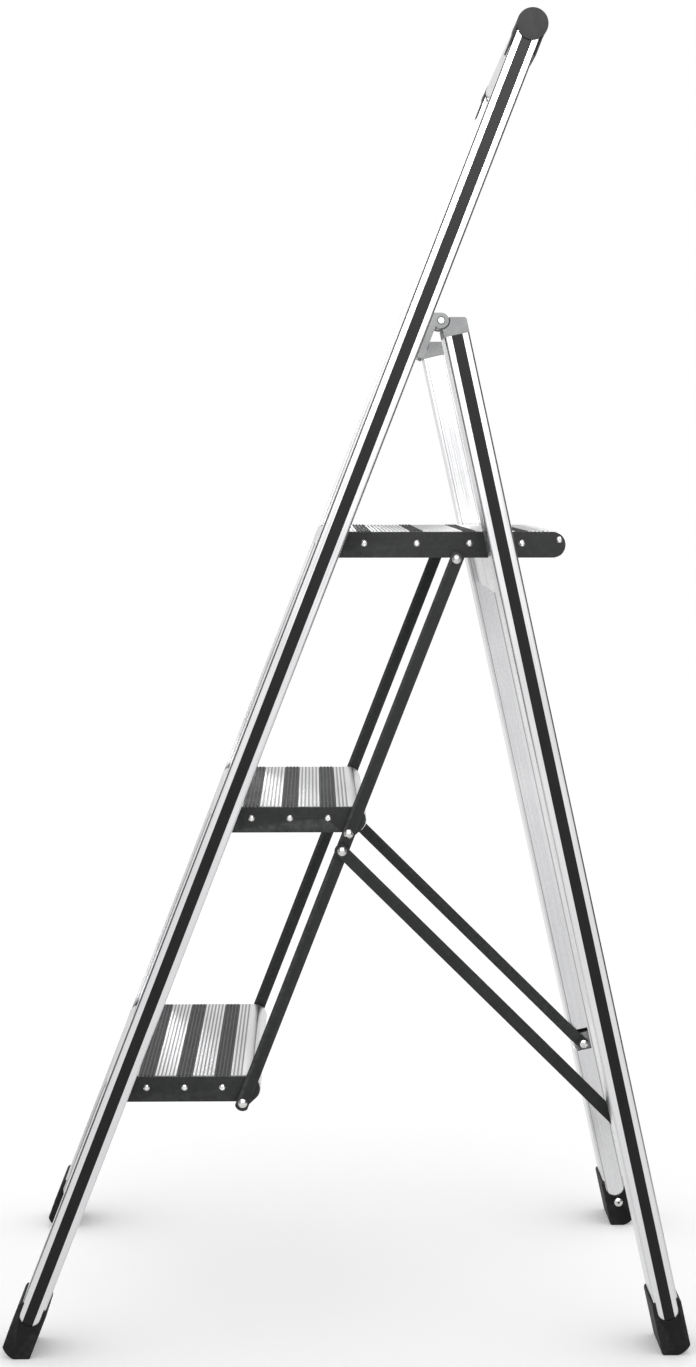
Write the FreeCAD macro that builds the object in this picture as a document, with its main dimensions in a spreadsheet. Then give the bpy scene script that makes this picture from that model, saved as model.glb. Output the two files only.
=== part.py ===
import FreeCAD, Part
import math
import os
import Sketcher

# Folding step stool with three steps and a bow handle, standing open.
# Frame: +X is the user's right, +Y is the rear, +Z is up. The origin is on the floor,
# under the middle of the stool. The user climbs from the front, the -Y side.
# Lengths are millimetres and angles are degrees.

Vector = FreeCAD.Vector
doc = FreeCAD.newDocument("step_stool")
sheet = doc.addObject("Spreadsheet::Sheet", "Sizes")
layout = doc.addObject("App::VarSet", "Layout")


class Size:
    """A length or an angle that carries the expression it comes from."""

    def __init__(self, value, text):
        self.value = float(value)
        self.text = text

    def join(self, other, sign, value):
        return Size(value, "(%s %s %s)" % (self.text, sign, size(other).text))

    def __add__(self, other):
        return self.join(other, "+", self.value + size(other).value)

    def __sub__(self, other):
        return self.join(other, "-", self.value - size(other).value)

    def __mul__(self, other):
        return self.join(other, "*", self.value * size(other).value)

    def __truediv__(self, other):
        return self.join(other, "/", self.value / size(other).value)

    def __radd__(self, other):
        return size(other) + self

    def __rsub__(self, other):
        return size(other) - self

    def __rmul__(self, other):
        return size(other) * self

    def __neg__(self):
        return Size(-self.value, "(0 - %s)" % self.text)


def size(number):
    return number if isinstance(number, Size) else Size(number, repr(float(number)))


def sine(angle):
    return Size(math.sin(math.radians(angle.value)), "sin(%s)" % angle.text)


def cosine(angle):
    return Size(math.cos(math.radians(angle.value)), "cos(%s)" % angle.text)


def tangent(angle):
    return sine(angle) / cosine(angle)


def root(number):
    return Size(math.sqrt(number.value), "sqrt(%s)" % number.text)


def whole(number):
    """The whole part of a number."""
    return Size(math.floor(number.value), "floor(%s)" % number.text)


def angle_of(rise, run):
    """Angle of a slope from its rise and its run."""
    value = math.degrees(math.atan2(rise.value, run.value))
    return Size(value, "(atan2(%s; %s) / 1deg)" % (rise.text, run.text))


def angle_with_cosine(number):
    return Size(math.degrees(math.acos(number.value)), "(acos(%s) / 1deg)" % number.text)


sheet_row = 0


def driving(name, value, note):
    """One driving dimension: a cell of the sheet, known by its alias."""
    global sheet_row
    sheet_row += 1
    sheet.set("A%d" % sheet_row, name)
    sheet.set("B%d" % sheet_row, str(value))
    sheet.set("C%d" % sheet_row, note)
    sheet.setAlias("B%d" % sheet_row, name)
    return Size(value, "Sizes." + name)


def derived(name, value):
    """A size worked out from others, kept by name so that expressions stay short."""
    layout.addProperty("App::PropertyFloat", name, "Layout")
    layout.setExpression(name, value.text)
    return Size(value.value, "Layout." + name)


# ---------------------------------------------------------------- driving dimensions

overall_width = driving("overall_width", 440.0, "over the feet and the handle ends")
rail_lean = driving("rail_lean", 21.3, "front rail from vertical, top to the rear")
leg_lean = driving("leg_lean", 12.56, "rear leg from vertical, top to the front")
handle_height = driving("handle_height", 1256.0, "floor to the handle tube's axis")
hinge_reach = driving("hinge_reach", 1068.0, "floor to the hinge, along the front rail")
hinge_offset = driving("hinge_offset", 20.6, "hinge behind the front rail's middle")
leg_setback = driving("leg_setback", 11.5, "rear leg's middle behind the hinge")

member_face = driving("member_face", 23.7, "rail and leg, side face, front to rear")
member_depth = driving("member_depth", 53.4, "rail and leg, across the stool")
member_wall = driving("member_wall", 1.6, "rail and leg, flange thickness")
member_web = driving("member_web", 2.8, "rail and leg, outer wall thickness")
member_bead = driving("member_bead", 2.3, "die groove from the edge of the inner face")
bead_width = driving("bead_width", 0.7, "die grooves in the inner face")
bead_depth = driving("bead_depth", 0.4, "die grooves in the inner face")
member_corner = driving("member_corner", 2.4, "rounding of the outer face's edges")
member_inset = driving("member_inset", 2.0, "outer face inside the overall width")
strip_width = driving("strip_width", 10.4, "dark inlaid strip")
strip_depth = driving("strip_depth", 1.2, "groove for the strip")
strip_proud = driving("strip_proud", 0.15, "strip standing out of its groove")
seat_gap = driving("seat_gap", 0.1, "gap around a piece that is pushed into another")
past = driving("past", 1.0, "how far a cut or a joint runs past a surface")

rail_end = driving("rail_end", 5.0, "rail's top below the tube's axis, along the rail")
tube_radius = driving("tube_radius", 14.0, "handle tube")
tube_wall = driving("tube_wall", 1.5, "handle tube")
cap_radius = driving("cap_radius", 14.5, "handle end disc")
barrel_proud = driving("barrel_proud", 0.3, "end fitting's barrel outside the tube")
collar_length = driving("collar_length", 5.0, "end fitting on the tube, past the rail")
spigot_length = driving("spigot_length", 30.0, "end fitting inside the tube and the rail")
skirt_length = driving("skirt_length", 25.0, "end fitting down the rail's edges")
skirt_wall = driving("skirt_wall", 1.6, "end fitting's skirt")

foot_wall = driving("foot_wall", 2.4, "foot around the rail, front and rear")
foot_side = driving("foot_side", 2.0, "foot around the rail, inner and outer side")
foot_rim = driving("foot_rim", 54.5, "foot's lips above the floor, along the rail")
foot_dip = driving("foot_dip", 35.0, "lowest point of the foot's rounded rim")
foot_slot = driving("foot_slot", 10.4, "half width of the rim's opening")
foot_toe = driving("foot_toe", 7.5, "height of the toe's rounding")
foot_sole = driving("foot_sole", 9.0, "rubber under the rail's end, along the rail")
toe_radius = driving("toe_radius", 19.0, "rounding of the toe")
heel_inset = driving("heel_inset", 0.8, "chamfer at the foot's heel, front to rear")
heel_rise = driving("heel_rise", 1.5, "chamfer at the foot's heel, height")
rim_inset = driving("rim_inset", 1.2, "chamfer around the foot's rim, front to rear")
rim_fall = driving("rim_fall", 3.0, "chamfer around the foot's rim, height")
foot_rivet_height = driving("foot_rivet_height", 27.0, "hollow rivet in the foot's inner side")
foot_rivet_head = driving("foot_rivet_head", 4.7, "hollow rivet's head")
foot_rivet_dome = driving("foot_rivet_dome", 1.4, "height of the hollow rivet's head")
foot_rivet_bore = driving("foot_rivet_bore", 1.3, "hollow rivet's bore")
foot_rivet_reach = driving("foot_rivet_reach", 6.0, "hollow rivet past the rail's inner face")

lower_step_top = driving("lower_step_top", 258.2, "floor to the lower step")
step_rise = driving("step_rise", 266.4, "from one step to the next")
step_length = driving("step_length", 139.4, "pivot to the rear end of a step")
platform_length = driving("platform_length", 227.4, "pivot to the rear end of the platform")
plate_height = driving("plate_height", 24.8, "side plate of a step")
plate_thickness = driving("plate_thickness", 3.0, "side plate of a step")
pivot_rise = driving("pivot_rise", 1.0, "step pivot above the plate's middle")
rivet_reach = driving("rivet_reach", 122.5, "step pivot to link rivet, to the rear")
rivet_drop = driving("rivet_drop", 13.5, "link rivet below the plate's middle")
tab_radius = driving("tab_radius", 5.7, "plate's tab around the link rivet")
pivot_radius = driving("pivot_radius", 4.0, "step pivot pin")
bush_radius = driving("bush_radius", 7.0, "bush between the rail and a step")
pivot_head_radius = driving("pivot_head_radius", 6.5, "inner head of a step's pivot pin")
pivot_dome = driving("pivot_dome", 1.6, "height of the pivot pin's head")
block_length = driving("block_length", 26.0, "pivot block inside a rail or leg")

bar_thickness = driving("bar_thickness", 2.5, "link bars and struts")
link_width = driving("link_width", 12.8, "link bar")
link_end = driving("link_end", 7.6, "arc of a link bar's end about its rivet")
strut_width = driving("strut_width", 12.4, "strut")
strut_top_round = driving("strut_top_round", 1.3, "strut's upper arc past half its width")
strut_tip_round = driving("strut_tip_round", 0.3, "strut's lower arc past half its width")
strut_pick = driving("strut_pick", 17.6, "strut's pivot below the middle step's rivet")
washer_gap = driving("washer_gap", 1.5, "side plate to link bar")
spacer_gap = driving("spacer_gap", 2.2, "link bar to strut")
rail_clear = driving("rail_clear", 0.5, "rivet heads to the rail's inner face")
rivet_radius = driving("rivet_radius", 3.0, "shank of the link rivets")
rivet_head = driving("rivet_head", 4.5, "head of the link rivets")
rivet_dome = driving("rivet_dome", 1.9, "height of the rivet heads")
inner_dome = driving("inner_dome", 1.2, "height of the rivets' inner heads")
washer_radius = driving("washer_radius", 6.0, "washers on the link rivets")
run_gap = driving("run_gap", 0.2, "side play between pieces that turn on each other")
run_fit = driving("run_fit", 0.05, "radial play of a pin in its hole")
crank_step = driving("crank_step", 7.1, "strut's lower end set outwards")
crank_start = driving("crank_start", 7.5, "straight stretch before the strut's crank")
crank_length = driving("crank_length", 8.0, "length of the strut's crank")
notch_low = driving("notch_low", 2.0, "leg's notch below the strut's pivot")
notch_high = driving("notch_high", 19.0, "leg's notch above the strut's pivot")
notch_depth = driving("notch_depth", 6.5, "leg's notch, across the stool")
notch_front = driving("notch_front", 4.35, "leg's notch, front to rear")
window_rear = driving("window_rear", 7.5, "leg's inner window behind the leg's middle")
window_low = driving("window_low", 5.4, "leg's inner window below the strut's pivot")

deck_thickness = driving("deck_thickness", 2.2, "tread under its ribs")
rib_height = driving("rib_height", 0.8, "tread's ribs")
step_ribs = driving("step_ribs", 10, "ribs in one screw pitch of a step")
platform_ribs = driving("platform_ribs", 13, "ribs in one screw pitch of the platform")
rib_groove = driving("rib_groove", 1.7, "groove between two ribs")
nose_wall = driving("nose_wall", 2.0, "tread's rounded front and rear walls")
nose_curl = driving("nose_curl", 55.0, "how far the round walls turn under, past upright")
inlay_teeth = driving("inlay_teeth", 4, "ribs of an inlay")
inlay_proud = driving("inlay_proud", 0.2, "inlay's ribs above the tread's")
inlay_sink = driving("inlay_sink", 1.0, "inlay's bed below the grooves")
inlay_fit = driving("inlay_fit", 0.05, "inlay in its bed, each side")
step_inlay = driving("step_inlay", 14.8, "width of a step's inlays")
platform_inlay = driving("platform_inlay", 13.2, "width of the platform's inlays")
step_first_screw = driving("step_first_screw", 28.3, "pivot to a step's first screw")
step_screw_pitch = driving("step_screw_pitch", 37.15, "screws of a step")
deck_first_screw = driving("deck_first_screw", 33.6, "pivot to the platform's first screw")
deck_screw_pitch = driving("deck_screw_pitch", 50.6, "screws of the platform")
screw_rise = driving("screw_rise", 1.6, "screws above the plate's middle")
nose_screw_back = driving("nose_screw_back", 6.0, "platform's last screw before its end")
nose_screw_rise = driving("nose_screw_rise", 5.0, "platform's last screw above the middle")
screw_head = driving("screw_head", 3.2, "pan head")
screw_dome = driving("screw_dome", 1.5, "pan head's height")
screw_radius = driving("screw_radius", 1.6, "screw shank")
screw_length = driving("screw_length", 15.0, "screw shank under the head")
boss_radius = driving("boss_radius", 3.4, "screw boss under the tread")
boss_web = driving("boss_web", 2.2, "web between a screw boss and the deck")
boss_root = driving("boss_root", 0.2, "web's root inside the deck")
recess_width = driving("recess_width", 0.7, "arms of the screw's cross recess")
recess_length = driving("recess_length", 3.2, "cross recess, tip to tip")
recess_depth = driving("recess_depth", 0.8, "cross recess")

ear_radius = driving("ear_radius", 7.1, "hinge ears")
ear_thickness = driving("ear_thickness", 5.0, "hinge ears")
hinge_pin = driving("hinge_pin", 2.5, "hinge pin's shank")
hinge_head = driving("hinge_head", 3.0, "hinge pin's head")
head_height = driving("head_height", 0.6, "hinge pin's head")
bracket_back = driving("bracket_back", 6.1, "bracket's thickness behind the rail")
bracket_drop = driving("bracket_drop", 38.7, "bracket below the hinge, along the rail")
bracket_plate = driving("bracket_plate", 2.5, "bracket's plate behind the rail")
ear_root = driving("ear_root", 2.0, "bracket's plate below the ears")
bracket_rivet = driving("bracket_rivet", 2.0, "rivets through the bracket")
flat_head = driving("flat_head", 3.8, "head of the rivets through a rear wall")
flat_head_height = driving("flat_head_height", 1.0, "same rivets, height of the head")
rivet_inner = driving("rivet_inner", 12.0, "bracket's inner rivets from the rail's inner face")
rivet_outer = driving("rivet_outer", 16.0, "bracket's outer rivets from the rail's outer face")
rivet_low = driving("rivet_low", 7.0, "bracket's lower rivets above its lower end")
rivet_high = driving("rivet_high", 21.0, "bracket's upper rivets above its lower end")
cap_drop = driving("cap_drop", 16.0, "leg cap below the hinge, along the leg")
cap_top = driving("cap_top", 3.2, "leg cap's top above the hinge")
ear_relief = driving("ear_relief", 8.3, "hollow of the cap around the ears")
cap_plug = driving("cap_plug", 25.0, "cap's plug inside the leg")
cap_corner = driving("cap_corner", 2.5, "corner cut off the cap's top edge")
cap_round = driving("cap_round", 2.75, "rounding of that corner")
knuckle_gap = driving("knuckle_gap", 0.8, "cap's knuckle inside the ears' outline")

crossbar_height = driving("crossbar_height", 36.0, "crossbar between the legs")
crossbar_depth = driving("crossbar_depth", 12.0, "crossbar between the legs")
crossbar_wall = driving("crossbar_wall", 1.5, "crossbar between the legs")
crossbar_tongue = driving("crossbar_tongue", 25.0, "crossbar inside each leg")
crossbar_chamfer = driving("crossbar_chamfer", 8.0, "lower corners of the crossbar")
crossbar_shoulder = driving("crossbar_shoulder", 4.0, "crossbar's full height ends at the legs")
bar_rivet_back = driving("bar_rivet_back", 8.0, "crossbar's rivets from its end")
bar_rivet_low = driving("bar_rivet_low", 15.12, "crossbar's lower rivets above its edge")
bar_rivet_high = driving("bar_rivet_high", 28.8, "crossbar's upper rivets above its edge")
rest_gap = driving("rest_gap", 0.3, "platform above the crossbar")

# ---------------------------------------------------------------- layout of the frame

outer_x = derived("outer_x", overall_width / 2)
rail_out = derived("rail_out", outer_x - member_inset)
rail_in = derived("rail_in", rail_out - member_depth)
half_face = derived("half_face", member_face / 2)

# across the stool, from the rail inwards: rivet head, strut, spacer, link bar, washer, plate
strut_out = derived("strut_out", rail_in - rail_clear - rivet_dome)
strut_in = derived("strut_in", strut_out - bar_thickness)
link_out = derived("link_out", strut_in - spacer_gap)
link_in = derived("link_in", link_out - bar_thickness)
plate_out = derived("plate_out", link_in - washer_gap)
plate_in = derived("plate_in", plate_out - plate_thickness)

# The rail's own frame has its origin where its middle line meets the floor. The hinge, seen
# from there, fixes the leg, whose own frame starts where its middle line meets the floor.
hinge_z = derived("hinge_z", hinge_reach * cosine(rail_lean) - hinge_offset * sine(rail_lean))
rail_to_hinge = derived(
    "rail_to_hinge", hinge_reach * sine(rail_lean) + hinge_offset * cosine(rail_lean))
leg_hinge = derived("leg_hinge", (hinge_z + leg_setback * sine(leg_lean)) / cosine(leg_lean))
hinge_to_leg = derived(
    "hinge_to_leg", leg_setback * cosine(leg_lean) + leg_hinge * sine(leg_lean))

# The feet's outermost points stand equally far from the origin, front and rear.
foot_half = derived("foot_half", half_face + foot_wall)
front_toe = derived("front_toe", foot_half * cosine(rail_lean) - foot_toe * sine(rail_lean))
rear_toe = derived("rear_toe", foot_half * cosine(leg_lean) - foot_toe * sine(leg_lean))
spread = derived("spread", rail_to_hinge + hinge_to_leg)
rail_foot = derived("rail_foot", (spread + rear_toe - front_toe) / 2)
leg_foot = derived("leg_foot", spread - rail_foot)
hinge_y = derived("hinge_y", rail_to_hinge - rail_foot)
handle_reach = derived("handle_reach", handle_height / cosine(rail_lean))

# Pivots of the lower step, the middle step and the platform, on the rail's middle line.
STEPS = ("lower", "middle", "platform")
pivot_z = {}
pivot_y = {}
for number, step in enumerate(STEPS):
    height = lower_step_top - plate_height / 2 + pivot_rise + number * step_rise
    pivot_z[step] = derived(step + "_pivot_z", height)
    pivot_y[step] = derived(step + "_pivot_y", pivot_z[step] * tangent(rail_lean) - rail_foot)

# Link rivets, seen from each step's pivot, and the strut's upper pivot.
link_drop = derived("link_drop", rivet_drop + pivot_rise)
link_y = derived("link_y", pivot_y["middle"] + rivet_reach)
link_z = derived("link_z", pivot_z["middle"] - link_drop)
pick_y = derived("pick_y", link_y - strut_pick * sine(rail_lean))
pick_z = derived("pick_z", link_z - strut_pick * cosine(rail_lean))

# Folded, the legs lie along the rails and the steps stand along them. The strut's lower pivot
# is on the leg's middle line, where both ends of the fold leave the strut the same length.
fold = derived("fold", rail_lean + leg_lean)
step_fold = derived("step_fold", 90 - rail_lean)
open_y = derived("open_y", pick_y - hinge_y)
open_z = derived("open_z", pick_z - hinge_z)
shut_y = derived("shut_y", open_y + rivet_reach * (cosine(step_fold) - 1)
                 + link_drop * sine(step_fold))
shut_z = derived("shut_z", open_z + rivet_reach * sine(step_fold)
                 - link_drop * (cosine(step_fold) - 1))
bias_y = derived("bias_y", open_y - shut_y * cosine(fold) + shut_z * sine(fold))
bias_z = derived("bias_z", open_z - shut_y * sine(fold) - shut_z * cosine(fold))
bias_across = derived("bias_across", bias_y * cosine(leg_lean) + bias_z * sine(leg_lean))
bias_along = derived("bias_along", bias_y * sine(leg_lean) - bias_z * cosine(leg_lean))
reach_gain = derived("reach_gain", (open_y * open_y + open_z * open_z
                                    - shut_y * shut_y - shut_z * shut_z) / 2)
strut_seat = derived("strut_seat", (reach_gain - leg_setback * bias_across) / bias_along)
strut_pivot = derived("strut_pivot", leg_hinge - strut_seat)
seat_y = derived("seat_y", leg_foot - strut_pivot * sine(leg_lean))
seat_z = derived("seat_z", strut_pivot * cosine(leg_lean))
strut_run = derived("strut_run", seat_y - pick_y)
strut_fall = derived("strut_fall", pick_z - seat_z)
strut_length = derived("strut_length", root(strut_run * strut_run + strut_fall * strut_fall))
strut_lean = derived("strut_lean", angle_of(strut_run, strut_fall))
doc.recompute()

# ---------------------------------------------------------------- drawing and features


class Corner:
    """A corner of an outline. With a radius, the edge that leads to it is an arc."""

    def __init__(self, u, v, radius=None, turn=1):
        self.u = size(u)
        self.v = size(v)
        self.radius = radius
        self.turn = turn


class Round:
    """A full circle in a sketch."""

    def __init__(self, u, v, radius):
        self.u = size(u)
        self.v = size(v)
        self.radius = size(radius)


def box(u_low, v_low, u_high, v_high):
    return [Corner(u_low, v_low), Corner(u_high, v_low),
            Corner(u_high, v_high), Corner(u_low, v_high)]


def flip(outline):
    """The same outline turned over left to right, still running anticlockwise."""
    ordered = list(reversed(outline))
    arcs = [(corner.radius, corner.turn) for corner in outline]
    count = len(outline)
    turned = []
    for index, corner in enumerate(ordered):
        radius, turn = arcs[(count - index) % count]
        turned.append(Corner(-corner.u, corner.v, radius, turn))
    return turned


def edge_between(start, end):
    """The edge from one corner to the next, and the numbers of its two ends."""
    first = Vector(start.u.value, start.v.value, 0)
    last = Vector(end.u.value, end.v.value, 0)
    if end.radius is None:
        return Part.LineSegment(first, last), 1, 2
    chord = last - first
    reach = math.sqrt(end.radius.value ** 2 - (chord.Length / 2) ** 2)
    side = Vector(-chord.y, chord.x, 0).normalize() * end.turn
    middle = first + chord / 2 + side * reach
    circle = Part.Circle(middle, Vector(0, 0, 1), end.radius.value)
    angles = [math.atan2(p.y - middle.y, p.x - middle.x) for p in (first, last)]
    if end.turn > 0:
        return Part.ArcOfCircle(circle, angles[0], angles[1]), 1, 2
    return Part.ArcOfCircle(circle, angles[1], angles[0]), 2, 1


def hold(sketch, kind, *where):
    """One dimension of a sketch, bound to its expression."""
    target = where[-1]
    index = sketch.addConstraint(Sketcher.Constraint(kind, *where[:-1], target.value))
    sketch.setExpression("Constraints[%d]" % index, target.text)


def draw_round(sketch, circle):
    middle = Vector(circle.u.value, circle.v.value, 0)
    edge = sketch.addGeometry(Part.Circle(middle, Vector(0, 0, 1), circle.radius.value))
    hold(sketch, "DistanceX", -1, 1, edge, 3, circle.u)
    hold(sketch, "DistanceY", -1, 1, edge, 3, circle.v)
    hold(sketch, "Radius", edge, circle.radius)


def draw_outline(sketch, outline):
    count = len(outline)
    edges = []
    for index, corner in enumerate(outline):
        shape, start, end = edge_between(corner, outline[(index + 1) % count])
        edges.append((sketch.addGeometry(shape), start, end))
    for index in range(count):
        edge, start, end = edges[index]
        following, next_start, _ = edges[(index + 1) % count]
        sketch.addConstraint(Sketcher.Constraint("Coincident", edge, end, following, next_start))
        hold(sketch, "DistanceX", -1, 1, edge, start, outline[index].u)
        hold(sketch, "DistanceY", -1, 1, edge, start, outline[index].v)
        radius = outline[(index + 1) % count].radius
        if radius is not None:
            hold(sketch, "Radius", edge, radius)


def sketch_on(body, role, name, outlines, offset):
    """A sketch on one of the body's own origin planes, moved along the plane's normal."""
    plane = [item for item in body.Origin.OriginFeatures if item.Role == role][0]
    sketch = body.newObject("Sketcher::SketchObject", name + "_sketch")
    sketch.AttachmentSupport = [(plane, "")]
    sketch.MapMode = "FlatFace"
    sketch.setExpression("AttachmentOffset.Base.z", size(offset).text)
    for outline in outlines:
        if isinstance(outline, Round):
            draw_round(sketch, outline)
        else:
            draw_outline(sketch, outline)
    return sketch


def feature(body, kind, name, sketch, length):
    item = body.newObject("PartDesign::" + kind, name)
    item.Profile = sketch
    item.setExpression("Length", size(length).text)
    sketch.Visibility = False
    return item


def pad_x(body, name, outlines, low, high):
    """Material between two places along X; outlines are drawn in Y and Z."""
    sketch = sketch_on(body, "YZ_Plane", name, outlines, low)
    return feature(body, "Pad", name, sketch, high - low)


def pocket_x(body, name, outlines, low, high):
    sketch = sketch_on(body, "YZ_Plane", name, outlines, high)
    return feature(body, "Pocket", name, sketch, high - low)


def pad_y(body, name, outlines, low, high):
    """Material between two places along Y; outlines are drawn in X and Z."""
    sketch = sketch_on(body, "XZ_Plane", name, outlines, -high)
    return feature(body, "Pad", name, sketch, high - low)


def pocket_y(body, name, outlines, low, high):
    sketch = sketch_on(body, "XZ_Plane", name, outlines, -low)
    return feature(body, "Pocket", name, sketch, high - low)


def pad_z(body, name, outlines, low, high):
    """Material between two heights; outlines are drawn in X and Y."""
    sketch = sketch_on(body, "XY_Plane", name, outlines, low)
    return feature(body, "Pad", name, sketch, high - low)


def pocket_z(body, name, outlines, low, high):
    sketch = sketch_on(body, "XY_Plane", name, outlines, high)
    return feature(body, "Pocket", name, sketch, high - low)


def place(item, y, z, lean=None):
    """Set an object at its place, turned about X by its lean."""
    turn = lean.value if lean is not None else 0.0
    axis = Vector(-1 if turn < 0 else 1, 0, 0)
    item.Placement = FreeCAD.Placement(
        Vector(0, y.value, z.value), FreeCAD.Rotation(axis, abs(turn)))
    item.setExpression("Placement.Base.y", y.text)
    item.setExpression("Placement.Base.z", z.text)
    if lean is not None:
        item.setExpression("Placement.Rotation.Angle", "abs(%s)" % lean.text)


def new_body(label, frame):
    """A body in one of the stool's frames: its place and its lean."""
    body = doc.addObject("PartDesign::Body", label)
    body.Label = label
    place(body, *frame)
    return body


parts = []


def keep(item, label=None):
    """Make an object one of the stool's pieces."""
    if label is not None:
        item.Label = label
    parts.append(item)
    return item


def mirrored(item, label):
    """The left-hand piece that matches a right-hand one."""
    copy = doc.addObject("Part::Mirroring", label)
    copy.Source = item
    copy.Normal = Vector(1, 0, 0)
    copy.Base = Vector(0, 0, 0)
    return keep(copy, label)


def both_sides(item, name):
    """Keep a right-hand piece and its left-hand match."""
    keep(item, name + "_right")
    return item, mirrored(item, name + "_left")


def group(items, label):
    """Separate solids of one kind, kept together as one piece."""
    bundle = doc.addObject("Part::Compound", label)
    bundle.Links = items
    return keep(bundle, label)


def cylinder(low, high, y, z, radius):
    """A cylinder along X, between two places."""
    item = doc.addObject("Part::Cylinder", "cylinder")
    item.Placement = FreeCAD.Placement(
        Vector(low.value, y.value, z.value), FreeCAD.Rotation(Vector(0, 1, 0), 90))
    item.setExpression("Radius", size(radius).text)
    item.setExpression("Height", (high - low).text)
    for axis, place_on_axis in (("x", low), ("y", y), ("z", z)):
        item.setExpression("Placement.Base." + axis, place_on_axis.text)
    return item


def dome(base, rise, y, z, radius, outwards=1):
    """A low domed head along X: a slice of a sphere over a flat base."""
    ball = size(radius) * radius / (2 * size(rise)) + size(rise) / 2
    item = doc.addObject("Part::Sphere", "dome")
    turn = 90 if outwards > 0 else -90
    centre = base - outwards * (ball - rise)
    item.Placement = FreeCAD.Placement(
        Vector(centre.value, y.value, z.value), FreeCAD.Rotation(Vector(0, 1, 0), turn))
    item.setExpression("Radius", ball.text)
    slice_angle = angle_of(ball - rise, size(radius))
    item.Angle1 = slice_angle.value
    item.setExpression("Angle1", slice_angle.text)
    item.Angle2 = 90
    for axis, place_on_axis in (("x", centre), ("y", y), ("z", z)):
        item.setExpression("Placement.Base." + axis, place_on_axis.text)
    return item


def fused(items, name):
    """One solid from solids that touch."""
    item = doc.addObject("Part::MultiFuse", name)
    item.Shapes = items
    item.Refine = True
    return item


def bored(item, tool, name):
    """A solid with another one cut out of it."""
    cut = doc.addObject("Part::Cut", name)
    cut.Base = item
    cut.Tool = tool
    return cut


ZERO = size(0)
RAIL = (-rail_foot, ZERO, -rail_lean)
LEG = (leg_foot, ZERO, leg_lean)


def rail_frame_place(body_frame_y, body_frame_z):
    """Stool coordinates of a point given in the rail's own frame."""
    y = body_frame_y * cosine(rail_lean) + body_frame_z * sine(rail_lean) - rail_foot
    z = body_frame_z * cosine(rail_lean) - body_frame_y * sine(rail_lean)
    return y, z


def leg_frame_place(body_frame_y, body_frame_z):
    """Stool coordinates of a point given in the leg's own frame."""
    y = body_frame_y * cosine(leg_lean) - body_frame_z * sine(leg_lean) + leg_foot
    z = body_frame_z * cosine(leg_lean) + body_frame_y * sine(leg_lean)
    return y, z

# ---------------------------------------------------------------- rails, legs and strips

rail_top = derived("rail_top", handle_reach - rail_end)
leg_top = derived("leg_top", leg_hinge - cap_drop)
inner_half = derived("inner_half", half_face - member_wall)
block_in = derived("block_in", rail_in + member_wall + seat_gap)
block_out = derived("block_out", rail_out - member_web - seat_gap)


def profile():
    """Section of a rail or leg: a tube with a groove outside and two fine ones inside."""
    corner = member_corner
    groove = strip_width / 2
    edge = half_face - member_bead
    bead = rail_in + bead_depth
    return [
        Corner(rail_out, groove), Corner(rail_out, half_face - corner),
        Corner(rail_out - corner, half_face, corner), Corner(rail_in, half_face),
        Corner(rail_in, edge), Corner(bead, edge),
        Corner(bead, edge - bead_width), Corner(rail_in, edge - bead_width),
        Corner(rail_in, bead_width - edge), Corner(bead, bead_width - edge),
        Corner(bead, -edge), Corner(rail_in, -edge),
        Corner(rail_in, -half_face), Corner(rail_out - corner, -half_face),
        Corner(rail_out, corner - half_face, corner), Corner(rail_out, -groove),
        Corner(rail_out - strip_depth, -groove), Corner(rail_out - strip_depth, groove),
    ]


def member(label, frame, top):
    body = new_body(label, frame)
    bore = box(rail_in + member_wall, -inner_half, rail_out - member_web, inner_half)
    pad_z(body, label + "_section", [profile(), bore], foot_sole, top)
    pocket_x(body, label + "_foot_hole", [Round(0, foot_rivet_height, rivet_radius)],
             rail_in - past, rail_in + member_wall)
    return body


def strip(name, frame, top):
    """Dark strip, pushed into the groove of a rail or leg."""
    body = new_body(name, frame)
    outline = box(rail_out - strip_depth, -strip_width / 2,
                  rail_out + strip_proud, strip_width / 2)
    pad_z(body, name + "_section", [outline], foot_sole, top)
    both_sides(body, name)


def cross_rivet(name, frame, x, z, low, high):
    """Rivet through a rear wall: a shank along Y with a flat head at the rear."""
    body = new_body(name, frame)
    pad_y(body, name + "_shank", [Round(x, z, bracket_rivet)], low, high)
    pad_y(body, name + "_head", [Round(x, z, flat_head)],
          high, high + flat_head_height)
    return body


def two_sided_group(items, label):
    """Right-hand solids and their left-hand matches, kept together as one piece."""
    right = doc.addObject("Part::Compound", label + "_right_set")
    right.Links = items
    left = doc.addObject("Part::Mirroring", label + "_left_set")
    left.Source = right
    left.Normal = Vector(1, 0, 0)
    group([right, left], label)


bracket_base = derived("bracket_base", half_face + bracket_plate)
rivet_places = []
for x in (rail_in + rivet_inner, rail_out - rivet_outer):
    for rise in (rivet_low, rivet_high):
        rivet_places.append((x, hinge_reach - bracket_drop + rise))

front_rail = member("front_rail", RAIL, rail_top)
pocket_y(front_rail, "bracket_holes", [Round(x, z, bracket_rivet) for x, z in rivet_places],
         inner_half, half_face)
pocket_x(front_rail, "bush_holes",
         [Round(0, pivot_z[step] / cosine(rail_lean), bush_radius) for step in STEPS],
         rail_in - past, rail_in + member_wall + seat_gap)
both_sides(front_rail, "front_rail")
strip("front_strip", RAIL, rail_top)

# The rear legs: holes for the crossbar's rivets, a notch and a window that let the strut in,
# and a window for the crossbar's end.
platform_bottom = pivot_z["platform"] - pivot_rise - plate_height / 2
crossbar_top = derived(
    "crossbar_top",
    (platform_bottom - rest_gap - crossbar_depth / 2 * sine(leg_lean)) / cosine(leg_lean))
crossbar_low = derived("crossbar_low", crossbar_top - crossbar_height)
crossbar_rivets = [(rail_in + crossbar_tongue - bar_rivet_back, crossbar_low + rise)
                   for rise in (bar_rivet_low, bar_rivet_high)]

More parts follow.
